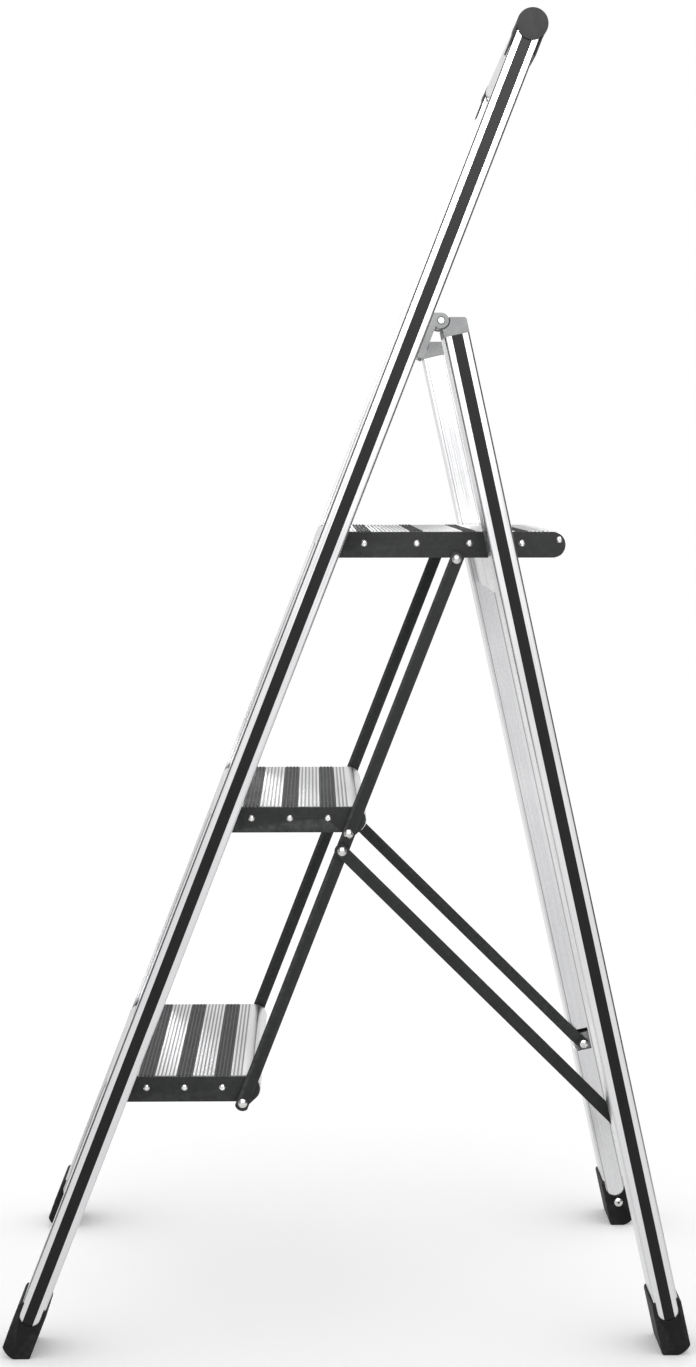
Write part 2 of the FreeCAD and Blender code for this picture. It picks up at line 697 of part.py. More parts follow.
rear_leg = member("rear_leg", LEG, leg_top)
pocket_x(rear_leg, "strut_notch",
         [box(-half_face - past, strut_pivot - notch_low,
              notch_front - half_face, strut_pivot + notch_high)],
         rail_in - past, rail_in + notch_depth)
pocket_x(rear_leg, "strut_window",
         [box(notch_front - half_face - past, strut_pivot - window_low,
              window_rear, strut_pivot + notch_high)],
         rail_in - past, rail_in + member_wall)
pocket_x(rear_leg, "crossbar_window",
         [box(-crossbar_depth / 2 - seat_gap, crossbar_low + crossbar_chamfer - seat_gap,
              crossbar_depth / 2 + seat_gap, crossbar_top + seat_gap)],
         rail_in - past, rail_in + member_wall)
pocket_y(rear_leg, "crossbar_holes",
         [Round(x, z, bracket_rivet) for x, z in crossbar_rivets], inner_half, half_face)
both_sides(rear_leg, "rear_leg")
strip("rear_strip", LEG, leg_top)

# ---------------------------------------------------------------- handle

collar_in = derived("collar_in", rail_in - collar_length)
barrel_radius = derived("barrel_radius", tube_radius + barrel_proud)

tube = new_body("handle_tube", RAIL)
pad_x(tube, "tube_wall", [Round(0, handle_reach, tube_radius),
                          Round(0, handle_reach, tube_radius - tube_wall)],
      -collar_in, collar_in)
keep(tube, "handle_tube")

fitting = new_body("handle_end", RAIL)
pad_x(fitting, "barrel", [Round(0, handle_reach, barrel_radius)], collar_in, rail_out)
pad_x(fitting, "end_disc", [Round(0, handle_reach, cap_radius)],
      rail_out, outer_x)
for name, low, high in (("front", -half_face - skirt_wall, -half_face),
                        ("rear", half_face, half_face + skirt_wall)):
    pad_x(fitting, name + "_skirt", [box(low, handle_reach - skirt_length, high, handle_reach)],
          rail_in, rail_out)
pocket_z(fitting, "rail_socket",
         [box(rail_in - seat_gap, -half_face - seat_gap,
              rail_out + strip_proud + seat_gap, half_face + seat_gap)],
         handle_reach - skirt_length - past, rail_top)
pad_z(fitting, "rail_plug", [box(block_in, seat_gap - inner_half, block_out,
                                 inner_half - seat_gap)],
      rail_top - spigot_length, rail_top + past)
pad_x(fitting, "tube_plug", [Round(0, handle_reach, tube_radius - tube_wall - seat_gap)],
      collar_in - spigot_length, collar_in + past)
both_sides(fitting, "handle_end")

# ---------------------------------------------------------------- feet


def foot(name, frame, lean, turned):
    """Moulded foot: flat on the floor under the heel, rounded at the toe."""
    heel = foot_half - heel_inset
    outline = [
        Corner(0, 0, toe_radius), Corner(heel, heel * tangent(lean)),
        Corner(foot_half, heel * tangent(lean) + heel_rise),
        Corner(foot_half, foot_rim - rim_fall), Corner(foot_half - rim_inset, foot_rim),
        Corner(rim_inset - foot_half, foot_rim), Corner(-foot_half, foot_rim - rim_fall),
        Corner(-foot_half, foot_toe),
    ]
    slot = [
        Corner(foot_slot, foot_rim + past), Corner(-foot_slot, foot_rim + past),
        Corner(-foot_slot, foot_dip + foot_slot), Corner(0, foot_dip, foot_slot),
        Corner(foot_slot, foot_dip + foot_slot, foot_slot),
    ]
    body = new_body(name, frame)
    pad_x(body, name + "_block", [flip(outline) if turned else outline],
          rail_in - foot_side, outer_x)
    pocket_z(body, name + "_socket",
             [box(rail_in - seat_gap, -half_face - seat_gap,
                  rail_out + strip_proud + seat_gap, half_face + seat_gap)],
             foot_sole, foot_rim + past)
    pocket_x(body, name + "_rim", [slot],
             rail_in - foot_side - past, outer_x + past)
    pocket_x(body, name + "_rivet_hole", [Round(0, foot_rivet_height, rivet_radius)],
             rail_in - foot_side - past, rail_in)
    both_sides(body, name)


def foot_rivets(label, y, z):
    """Hollow rivets through the inner side of two feet."""
    tail = rail_in + foot_rivet_reach
    shank = cylinder(rail_in - foot_side, tail, y, z, rivet_radius)
    head = dome(rail_in - foot_side, foot_rivet_dome, y, z, foot_rivet_head, outwards=-1)
    bore = cylinder(rail_in - foot_side - foot_rivet_dome - past, tail + past, y, z,
                    foot_rivet_bore)
    two_sided_group([bored(fused([shank, head], label + "_solid"), bore, label + "_bored")],
                    label)


foot("front_foot", RAIL, rail_lean, turned=False)
foot("rear_foot", LEG, leg_lean, turned=True)
foot_rivets("front_foot_rivets", *rail_frame_place(ZERO, foot_rivet_height))
foot_rivets("rear_foot_rivets", *leg_frame_place(ZERO, foot_rivet_height))

# ---------------------------------------------------------------- hinges

ear_dip = hinge_offset - half_face - bracket_back
ear_low = root(ear_radius * ear_radius - ear_dip * ear_dip)
ear_top_y = hinge_offset - ear_radius * sine(rail_lean)
ear_top_z = ear_radius * cosine(rail_lean)
wall_outline = [
    Corner(half_face, hinge_reach - bracket_drop),
    Corner(half_face + bracket_back, hinge_reach - bracket_drop),
    Corner(half_face + bracket_back, hinge_reach - ear_low),
    Corner(hinge_offset + ear_radius, hinge_reach, ear_radius),
    Corner(ear_top_y, hinge_reach + ear_top_z, ear_radius),
    Corner(half_face, hinge_reach + ear_top_z - (ear_top_y - half_face) * tangent(rail_lean)),
]
bracket = new_body("hinge_bracket", RAIL)
pad_x(bracket, "inner_ear", [wall_outline], rail_in, rail_in + ear_thickness)
pad_x(bracket, "base", [box(half_face, hinge_reach - bracket_drop, bracket_base,
                            hinge_reach - ear_radius - ear_root)], rail_in, rail_out)
pad_x(bracket, "outer_ear", [wall_outline], rail_out - ear_thickness, rail_out)
pocket_x(bracket, "pin_bore", [Round(hinge_offset, hinge_reach, hinge_pin)],
         rail_in - past, rail_out + past)
pocket_y(bracket, "rivet_holes", [Round(x, z, bracket_rivet) for x, z in rivet_places],
         half_face, bracket_base)
both_sides(bracket, "hinge_bracket")
two_sided_group([cross_rivet("bracket_rivet", RAIL, x, z, inner_half, bracket_base)
                 for x, z in rivet_places], "bracket_rivets")

pin_y, pin_z = rail_frame_place(hinge_offset, hinge_reach)
two_sided_group([fused([
    cylinder(rail_in, rail_out, pin_y, pin_z, hinge_pin),
    cylinder(rail_in - head_height, rail_in, pin_y, pin_z, hinge_head),
    cylinder(rail_out, rail_out + head_height, pin_y, pin_z, hinge_head),
], "hinge_pin")], "hinge_pins")


def level_line(across):
    """Height on the leg of the cap's top, which is level when the stool is open."""
    return leg_hinge + (cap_top - (across + leg_setback) * sine(leg_lean)) / cosine(leg_lean)


cap = new_body("leg_cap", LEG)
cap_outline = [
    Corner(-half_face, leg_top), Corner(half_face, leg_top),
    Corner(half_face, level_line(half_face) - cap_corner),
    Corner(half_face - cap_corner, level_line(half_face - cap_corner), cap_round),
    Corner(-half_face, level_line(-half_face)),
]
ear_gap = ear_thickness + run_gap
pad_x(cap, "cap_block", [cap_outline], rail_in, rail_out)
for name, low, high in (("inner", rail_in - past, rail_in + ear_gap),
                        ("outer", rail_out - ear_gap, rail_out + past)):
    pocket_x(cap, name + "_relief", [Round(-leg_setback, leg_hinge, ear_relief)], low, high)
pad_x(cap, "knuckle", [Round(-leg_setback, leg_hinge, ear_radius - knuckle_gap)],
      rail_in + ear_gap, rail_out - ear_gap)
pocket_x(cap, "knuckle_bore", [Round(-leg_setback, leg_hinge, hinge_pin + run_fit)],
         rail_in - past, rail_out + past)
pad_z(cap, "cap_plug_block", [box(block_in, seat_gap - inner_half, block_out,
                                  inner_half - seat_gap)],
      leg_top - cap_plug, leg_top + past)
both_sides(cap, "leg_cap")

# ---------------------------------------------------------------- crossbar

bar_end = rail_in + crossbar_tongue
bar_shoulder = rail_in - crossbar_shoulder
bar_step = crossbar_low + crossbar_chamfer
crossbar = new_body("crossbar", LEG)
pad_y(crossbar, "crossbar_block", [[
    Corner(crossbar_chamfer - bar_shoulder, crossbar_low),
    Corner(bar_shoulder - crossbar_chamfer, crossbar_low),
    Corner(bar_shoulder, bar_step), Corner(bar_end, bar_step),
    Corner(bar_end, crossbar_top), Corner(-bar_end, crossbar_top),
    Corner(-bar_end, bar_step), Corner(-bar_shoulder, bar_step),
]], -crossbar_depth / 2, crossbar_depth / 2)
pocket_x(crossbar, "crossbar_hollow", [box(
    crossbar_wall - crossbar_depth / 2, crossbar_low + crossbar_wall,
    crossbar_depth / 2 - crossbar_wall, crossbar_top - crossbar_wall)],
    -bar_end - past, bar_end + past)
for name, side in (("right", 1), ("left", -1)):
    pocket_y(crossbar, name + "_rivet_holes",
             [Round(side * x, z, bracket_rivet) for x, z in crossbar_rivets],
             crossbar_depth / 2 - crossbar_wall, crossbar_depth / 2)
keep(crossbar, "crossbar")
two_sided_group([cross_rivet("crossbar_rivet", LEG, x, z,
                             crossbar_depth / 2 - crossbar_wall, half_face)
                 for x, z in crossbar_rivets], "crossbar_rivets")

# ---------------------------------------------------------------- steps

top = derived("plate_top", plate_height / 2 - pivot_rise)
bottom = derived("plate_bottom", -plate_height / 2 - pivot_rise)
half = derived("plate_half", plate_height / 2)
rib_top = derived("rib_top", top + rib_height)
deck_bottom = derived("deck_bottom", top - deck_thickness)
inlay_bed = derived("inlay_bed", top - inlay_sink)


def plate_outline(length):
    """A straight plate with two round ends."""
    return [
        Corner(0, bottom), Corner(length - half, bottom),
        Corner(length, -pivot_rise, half), Corner(length - half, top, half),
        Corner(0, top), Corner(-half, -pivot_rise, half),
    ]


def tab_start():
    """The front of the tab that hangs below a plate around the link rivet."""
    return [Corner(rivet_reach - tab_radius, bottom + past),
            Corner(rivet_reach - tab_radius, -link_drop),
            Corner(rivet_reach, -link_drop - tab_radius, tab_radius)]


def plain_tab():
    return tab_start() + [Corner(rivet_reach + tab_radius, -link_drop, tab_radius),
                          Corner(rivet_reach + tab_radius, bottom + past)]


def swept_tab(length):
    """A tab that runs into the plate's round end along their common tangent."""
    away_y = rivet_reach - (length - half)
    away_z = pivot_rise - link_drop
    apart = root(away_y * away_y + away_z * away_z)
    facing = angle_of(away_z, away_y) + angle_with_cosine((half - tab_radius) / apart)
    facing = derived("tab_facing_%d" % len(layout.PropertiesList), facing)
    return tab_start() + [
        Corner(rivet_reach + tab_radius * cosine(facing),
               tab_radius * sine(facing) - link_drop, tab_radius),
        Corner(length - half + half * cosine(facing), half * sine(facing) - pivot_rise),
        Corner(length - half, -pivot_rise),
    ]


def nose(middle, reach, side):
    """Where a tread's round wall ends underneath, front (-1) or rear (1)."""
    return (middle + side * reach * cosine(nose_curl), -reach * sine(nose_curl) - pivot_rise)


def make_tread(step, length, ribs, band, bands, screws):
    """Extruded tread: a ribbed deck with round front and rear walls, beds and screw ports."""
    outer = half + rib_height
    inner = outer - nose_wall
    back = length - half
    under = root(inner * inner - (deck_bottom + pivot_rise) * (deck_bottom + pivot_rise))
    body = new_body(step + "_tread", (pivot_y[step], pivot_z[step]))
    pad_x(body, step + "_deck", [[
        Corner(*nose(size(0), outer, -1), outer), Corner(*nose(size(0), inner, -1)),
        Corner(-inner, -pivot_rise, inner, -1), Corner(-under, deck_bottom, inner, -1),
        Corner(back + under, deck_bottom), Corner(back + inner, -pivot_rise, inner, -1),
        Corner(*nose(back, inner, 1), inner, -1), Corner(*nose(back, outer, 1)),
        Corner(back + outer, -pivot_rise, outer), Corner(back, rib_top, outer),
        Corner(0, rib_top), Corner(-outer, -pivot_rise, outer),
    ]], -plate_in, plate_in)

    # The grooves keep step with the beds: one lies on each bed's edge.
    pitch = (bands[1] - bands[0]) / ribs
    lead = bands[0] - band / 2 - rib_groove / 2
    first = derived(step + "_first_groove", lead - whole(lead / pitch) * pitch)
    count = derived(step + "_grooves", whole((back - first) / pitch))
    groove = pocket_x(body, step + "_groove",
                      [box(first, top, first + rib_groove, rib_top + past)],
                      -plate_in, plate_in)
    doc.recompute()
    grooves = body.newObject("PartDesign::LinearPattern", step + "_groove_row")
    grooves.Originals = [groove]
    axis = [item for item in body.Origin.OriginFeatures if item.Role == "Y_Axis"][0]
    grooves.Direction = (axis, [""])
    grooves.Occurrences = int(count.value)
    grooves.Length = pitch.value * (count.value - 1)
    grooves.setExpression("Occurrences", count.text)
    grooves.setExpression("Length", ((count - 1) * pitch).text)
    body.Tip = grooves
    pocket_x(body, step + "_beds",
             [box(y - band / 2, inlay_bed, y + band / 2, rib_top + past) for y in bands],
             -plate_in, plate_in)
    pad_x(body, step + "_port_webs",
          [box(y - boss_web / 2, screw_rise - pivot_rise, y + boss_web / 2,
               deck_bottom + boss_root) for y in bands],
          -plate_in, plate_in)
    pad_x(body, step + "_ports", [Round(y, z, boss_radius) for y, z in screws],
          -plate_in, plate_in)
    pocket_x(body, step + "_port_bores", [Round(y, z, screw_radius) for y, z in screws],
             -plate_in, plate_in)
    keep(body, step + "_tread")


def make_inlay(step, index, y, band):
    """One ribbed inlay in its bed."""
    teeth = int(inlay_teeth.value)
    pitch = (band - 2 * inlay_fit) / teeth
    left = y - band / 2 + inlay_fit
    comb = [Corner(left, inlay_bed), Corner(left + teeth * pitch, inlay_bed)]
    for tooth in range(teeth, 0, -1):
        outer = left + tooth * pitch - rib_groove / 2
        inner = left + (tooth - 1) * pitch + rib_groove / 2
        if tooth == teeth:
            comb.append(Corner(left + teeth * pitch, top))
        comb += [Corner(outer, top), Corner(outer, rib_top + inlay_proud),
                 Corner(inner, rib_top + inlay_proud), Corner(inner, top)]
    comb.append(Corner(left, top))
    body = new_body("%s_inlay_%d" % (step, index), (pivot_y[step], pivot_z[step]))
    pad_x(body, "%s_inlay_section_%d" % (step, index), [comb], -plate_in, plate_in)
    return body


def make_screw(y, z):
    """Pan-head screw with a cross recess, through the right side plate."""
    shank = cylinder(plate_out - screw_length, plate_out, y, z, screw_radius)
    head = dome(plate_out, screw_dome, y, z, screw_head)
    arms = []
    face = plate_out + screw_dome
    for wide, tall in ((recess_length, recess_width), (recess_width, recess_length)):
        arm = doc.addObject("Part::Box", "recess_arm")
        arm.setExpression("Length", (recess_depth + past).text)
        arm.setExpression("Width", wide.text)
        arm.setExpression("Height", tall.text)
        corner = {"x": face - recess_depth, "y": y - wide / 2, "z": z - tall / 2}
        for axis, value in corner.items():
            arm.setExpression("Placement.Base." + axis, value.text)
        arms.append(arm)
    return bored(fused([shank, head], "screw_blank"), fused(arms, "recess"), "screw")


def make_step(step, length, ribs, band, bands, last_screw=None):
    y0 = pivot_y[step]
    z0 = pivot_z[step]
    screws = [(y, screw_rise - pivot_rise) for y in bands]
    if last_screw is not None:
        screws.append(last_screw)
    plate = new_body(step + "_side", (y0, z0))
    pad_x(plate, step + "_plate", [plate_outline(length)], plate_out - plate_thickness, plate_out)
    tab = plain_tab() if step == "platform" else swept_tab(length)
    pad_x(plate, step + "_tab", [tab], plate_in, plate_out)
    holes = [Round(0, 0, pivot_radius + run_fit),
             Round(rivet_reach, -link_drop, rivet_radius + run_fit)]
    holes += [Round(y, z, screw_radius) for y, z in screws]
    pocket_x(plate, step + "_holes", holes, plate_in - past, plate_out + past)
    both_sides(plate, step + "_side")
    make_tread(step, length, ribs, band, bands, screws)
    group([make_inlay(step, index, y, band) for index, y in enumerate(bands)],
          step + "_inlays")
    two_sided_group([make_screw(y0 + y, z0 + z) for y, z in screws], step + "_screws")


step_bands = [step_first_screw + number * step_screw_pitch for number in range(3)]
deck_bands = [deck_first_screw + number * deck_screw_pitch for number in range(4)]
nose_screw = (platform_length - nose_screw_back, nose_screw_rise - pivot_rise)
make_step("lower", step_length, step_ribs, step_inlay, step_bands)
make_step("middle", step_length, step_ribs, step_inlay, step_bands)
make_step("platform", platform_length, platform_ribs, platform_inlay, deck_bands, nose_screw)

# ---------------------------------------------------------------- step pivots in the rails

pivot_head = derived("pivot_head", plate_in - run_gap)
blocks = []
pins = []
bushes = []
for step in STEPS:
    along = pivot_z[step] / cosine(rail_lean)
    block = new_body(step + "_block", RAIL)
    pad_z(block, step + "_block_section",
          [box(block_in, seat_gap - inner_half, block_out, inner_half - seat_gap)],
          along - block_length / 2, along + block_length / 2)
    pocket_x(block, step + "_block_bore", [Round(0, along, pivot_radius)],
             rail_in, block_in + block_length)
    blocks.append(block)
    y, z = pivot_y[step], pivot_z[step]
    pins.append(fused([cylinder(pivot_head, block_in + block_length, y, z, pivot_radius),
                       dome(pivot_head, pivot_dome, y, z, pivot_head_radius, outwards=-1)], "pivot_pin"))
    bushes.append(bored(cylinder(plate_out + run_gap, block_in, y, z, bush_radius),
                        cylinder(plate_out - past, block_in + past, y, z, pivot_radius), "bush"))
two_sided_group(blocks, "pivot_blocks")
two_sided_group(pins, "pivot_pins")
two_sided_group(bushes, "pivot_bushes")

# ---------------------------------------------------------------- link bars

link_length = derived("link_length", 2 * step_rise / cosine(rail_lean))
link_half = link_width / 2
link_shoulder = root(link_end * link_end - link_half * link_half)
link_top_y = pivot_y["platform"] + rivet_reach
link_top_z = pivot_z["platform"] - link_drop
link_bar = new_body("link_bar", (link_top_y, link_top_z, -rail_lean))
pad_x(link_bar, "link_blade", [[
    Corner(-link_half, -link_length - link_shoulder),
    Corner(link_half, -link_length - link_shoulder, link_end),
    Corner(link_half, link_shoulder), Corner(-link_half, link_shoulder, link_end),
]], link_in, link_out)
pocket_x(link_bar, "link_rivet_holes",
         [Round(0, -share * link_length, rivet_radius) for share in (0, 0.5, 1)],
         link_in - past, link_out + past)
both_sides(link_bar, "link_bar")

rivets = []
washers = []
for step in STEPS:
    y = pivot_y[step] + rivet_reach
    z = pivot_z[step] - link_drop
    rivets.append(fused([cylinder(plate_in - run_gap, link_out, y, z, rivet_radius),
                         dome(link_out, rivet_dome, y, z, rivet_head),
                         dome(plate_in - run_gap, inner_dome, y, z, rivet_head, outwards=-1)],
                        "link_rivet"))
    washers.append(bored(cylinder(plate_out + run_gap, link_in, y, z, washer_radius),
                         cylinder(plate_out, link_out, y, z, rivet_radius), "link_washer"))
for items, label in ((rivets, "link_rivets"), (washers, "link_washers")):
    right = group(items, label + "_right")
    mirrored(right, label + "_left")

# ---------------------------------------------------------------- struts

strut_half = strut_width / 2
strut_top = derived("strut_top", strut_half + strut_top_round)
strut_tip = derived("strut_tip", strut_half + strut_tip_round)
strut_top_shoulder = root(strut_top * strut_top - strut_half * strut_half)
strut_tip_shoulder = root(strut_tip * strut_tip - strut_half * strut_half)
crank_low = crank_start - strut_length
crank_high = crank_low + crank_length


def end_waste(reach, shoulder, radius, upwards):
    """What is cut off a square strut end to leave an arc about its pivot."""
    far = strut_half + past
    outline = [
        Corner(far, shoulder), Corner(far, reach + past),
        Corner(-far, reach + past), Corner(-far, shoulder),
        Corner(-strut_half, shoulder), Corner(strut_half, shoulder, radius, -1),
    ]
    if upwards:
        return outline
    ordered = list(reversed(outline))
    below = [Corner(item.u, -strut_length - item.v) for item in ordered]
    below[1] = Corner(below[1].u, below[1].v, radius, 1)
    return below


strut = new_body("strut", (pick_y, pick_z, strut_lean))
pad_y(strut, "strut_blade", [[
    Corner(strut_in, strut_top), Corner(strut_in, crank_high),
    Corner(strut_in + crank_step, crank_low),
    Corner(strut_in + crank_step, -strut_length - strut_tip),
    Corner(strut_out + crank_step, -strut_length - strut_tip),
    Corner(strut_out + crank_step, crank_low),
    Corner(strut_out, crank_high), Corner(strut_out, strut_top),
]], -strut_half, strut_half)
waste_in = strut_in - past
waste_out = strut_out + crank_step + past
pocket_x(strut, "top_waste", [end_waste(strut_top, strut_top_shoulder, strut_top, True)],
         waste_in, waste_out)
pocket_x(strut, "tip_waste", [end_waste(strut_tip, strut_tip_shoulder, strut_tip, False)],
         waste_in, waste_out)
pocket_x(strut, "top_hole", [Round(0, 0, rivet_radius)], waste_in, waste_out)
pocket_x(strut, "tip_hole", [Round(0, -strut_length, rivet_radius + run_fit)],
         waste_in, waste_out)
both_sides(strut, "strut")

# The strut's upper rivet turns with the strut and stops short of the link bar.
rivet_end = derived("rivet_end", link_out + run_gap)
both_sides(fused([cylinder(rivet_end, strut_out, pick_y, pick_z, rivet_radius),
                  dome(strut_out, rivet_dome, pick_y, pick_z, rivet_head)], "strut_rivet"),
           "strut_rivet")
both_sides(bored(cylinder(rivet_end, strut_in, pick_y, pick_z, washer_radius),
                 cylinder(link_in, strut_out, pick_y, pick_z, rivet_radius), "strut_spacer"),
           "strut_spacer")

strut_block = new_body("strut_block", LEG)
strut_block_in = strut_out + crank_step + run_gap
pad_z(strut_block, "strut_block_section",
      [box(strut_block_in, seat_gap - inner_half, block_out, inner_half - seat_gap)],
      strut_pivot - block_length / 2, strut_pivot + block_length / 2)
pocket_x(strut_block, "strut_block_bore", [Round(0, strut_pivot, rivet_radius)],
         rail_in, strut_block_in + block_length)
two_sided_group([strut_block], "strut_blocks")
strut_pin_head = strut_in + crank_step - run_gap
two_sided_group([fused([
    cylinder(strut_pin_head, strut_block_in + block_length, seat_y, seat_z, rivet_radius),
    dome(strut_pin_head, inner_dome, seat_y, seat_z, rivet_head, outwards=-1),
], "strut_pin")], "strut_pins")

# ---------------------------------------------------------------- checks and files

doc.recompute()
for item in doc.Objects:
    if "Invalid" in item.State or "Error" in item.State:
        raise RuntimeError("failed object: %s" % item.Name)
for item in parts:
    if item.Shape.isNull() or not item.Shape.isValid() or not item.Shape.Solids:
        raise RuntimeError("bad shape: %s" % item.Label)

os.makedirs("parts", exist_ok=True)
for item in parts:
    item.Shape.exportStep("parts/%s.step" % item.Label)
    print("%-24s %2d solids %10.1f mm3" % (item.Label, len(item.Shape.Solids),
                                          item.Shape.Volume))
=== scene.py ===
"""Folding three-step stool: softened pieces, real finishes, studio light and camera.

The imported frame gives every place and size. Each sub-assembly below turns its frame nodes
into finished pieces: edges are rounded as the real part's tool leaves them, curved walls are
shaded smooth, and each material follows what the part is made of and how it was made.
"""
import logging
import math
from dataclasses import dataclass, field
from enum import Enum

import bmesh
import bpy
from mathutils import Matrix, Vector


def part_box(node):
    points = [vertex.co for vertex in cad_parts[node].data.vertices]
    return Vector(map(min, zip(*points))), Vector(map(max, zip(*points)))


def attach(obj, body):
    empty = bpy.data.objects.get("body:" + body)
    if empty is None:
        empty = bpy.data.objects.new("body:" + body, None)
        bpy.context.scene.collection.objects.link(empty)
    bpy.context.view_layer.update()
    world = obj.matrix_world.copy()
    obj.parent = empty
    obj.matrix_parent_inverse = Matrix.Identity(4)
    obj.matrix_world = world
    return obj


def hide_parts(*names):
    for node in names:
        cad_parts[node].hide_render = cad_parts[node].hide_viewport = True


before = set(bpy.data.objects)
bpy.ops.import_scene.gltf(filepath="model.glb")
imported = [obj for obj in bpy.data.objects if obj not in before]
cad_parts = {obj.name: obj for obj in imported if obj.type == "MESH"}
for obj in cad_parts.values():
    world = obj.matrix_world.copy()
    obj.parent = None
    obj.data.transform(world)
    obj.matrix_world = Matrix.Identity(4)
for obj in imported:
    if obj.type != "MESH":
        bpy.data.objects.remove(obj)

log = logging.getLogger("step_stool")

MM = 0.001
# How far the two slanted frames lean from upright, turned about X.
RAIL_LEAN = math.radians(-21.30)
LEG_LEAN = math.radians(12.56)
# Points closer than this, in metres, are one point of a merged skin.
MERGE_GAP = 1e-6
# Neighbouring faces that turn less than this are one flat face.
FLAT_ANGLE = math.radians(0.6)
# Edges that turn more than this stay edges, and are rounded.
SHARP_ANGLE = math.radians(32.0)
# Convexity at which the painted highlight on an edge starts, and at which it is full.
EDGE_HIGHLIGHT_START, EDGE_HIGHLIGHT_FULL = 0.515, 0.58
# The painted edge highlight comes in patches of this size in millimetres, and is never less than
# this share.
EDGE_HIGHLIGHT_PATCH = 5.0
EDGE_HIGHLIGHT_LEAST = 0.2


# ---------------------------------------------------------------- shared small tools


def linear(hex_colour: str) -> tuple[float, float, float, float]:
    """Turns an sRGB hex colour into linear light.

    Args:
        hex_colour: Six hex digits after a hash sign.

    Returns:
        Linear red, green and blue, and an alpha of one.
    """
    channels = [int(hex_colour[i:i + 2], 16) / 255 for i in (1, 3, 5)]
    bright = [c / 12.92 if c <= 0.04045 else ((c + 0.055) / 1.055) ** 2.4 for c in channels]
    return (bright[0], bright[1], bright[2], 1.0)


def add_node(tree: bpy.types.NodeTree, kind: str, inputs: dict | None = None,
             **settings: object) -> bpy.types.Node:
    """Adds one node, sets its options, and sets or links its inputs.

    Args:
        tree: The node tree that takes the node.
        kind: The node's type name.
        inputs: Input name or number to a value, or to the output socket that feeds it.
        **settings: Options of the node itself.

    Returns:
        The new node.
    """
    node = tree.nodes.new(kind)
    for option, value in settings.items():
        setattr(node, option, value)
    for socket, value in (inputs or {}).items():
        if isinstance(value, bpy.types.NodeSocket):
            tree.links.new(value, node.inputs[socket])
        else:
            node.inputs[socket].default_value = value
    return node


class Along(Enum):
    """The direction a part was drawn in, as a turn of its pattern about X."""

    RAIL = RAIL_LEAN
    LEG = LEG_LEAN
    ACROSS = 0.0


class Edges(Enum):
    """How a part's making rounds its edges: radius in millimetres, faces across the round."""

    AS_MADE = (0.0, 2)
    SAWN = (0.3, 2)
    EASED = (0.4, 2)
    SHEARED = (0.5, 2)
    EXTRUDED = (0.6, 2)
    CAST = (0.8, 3)
    RUBBER = (1.2, 3)


# ---------------------------------------------------------------- finishes


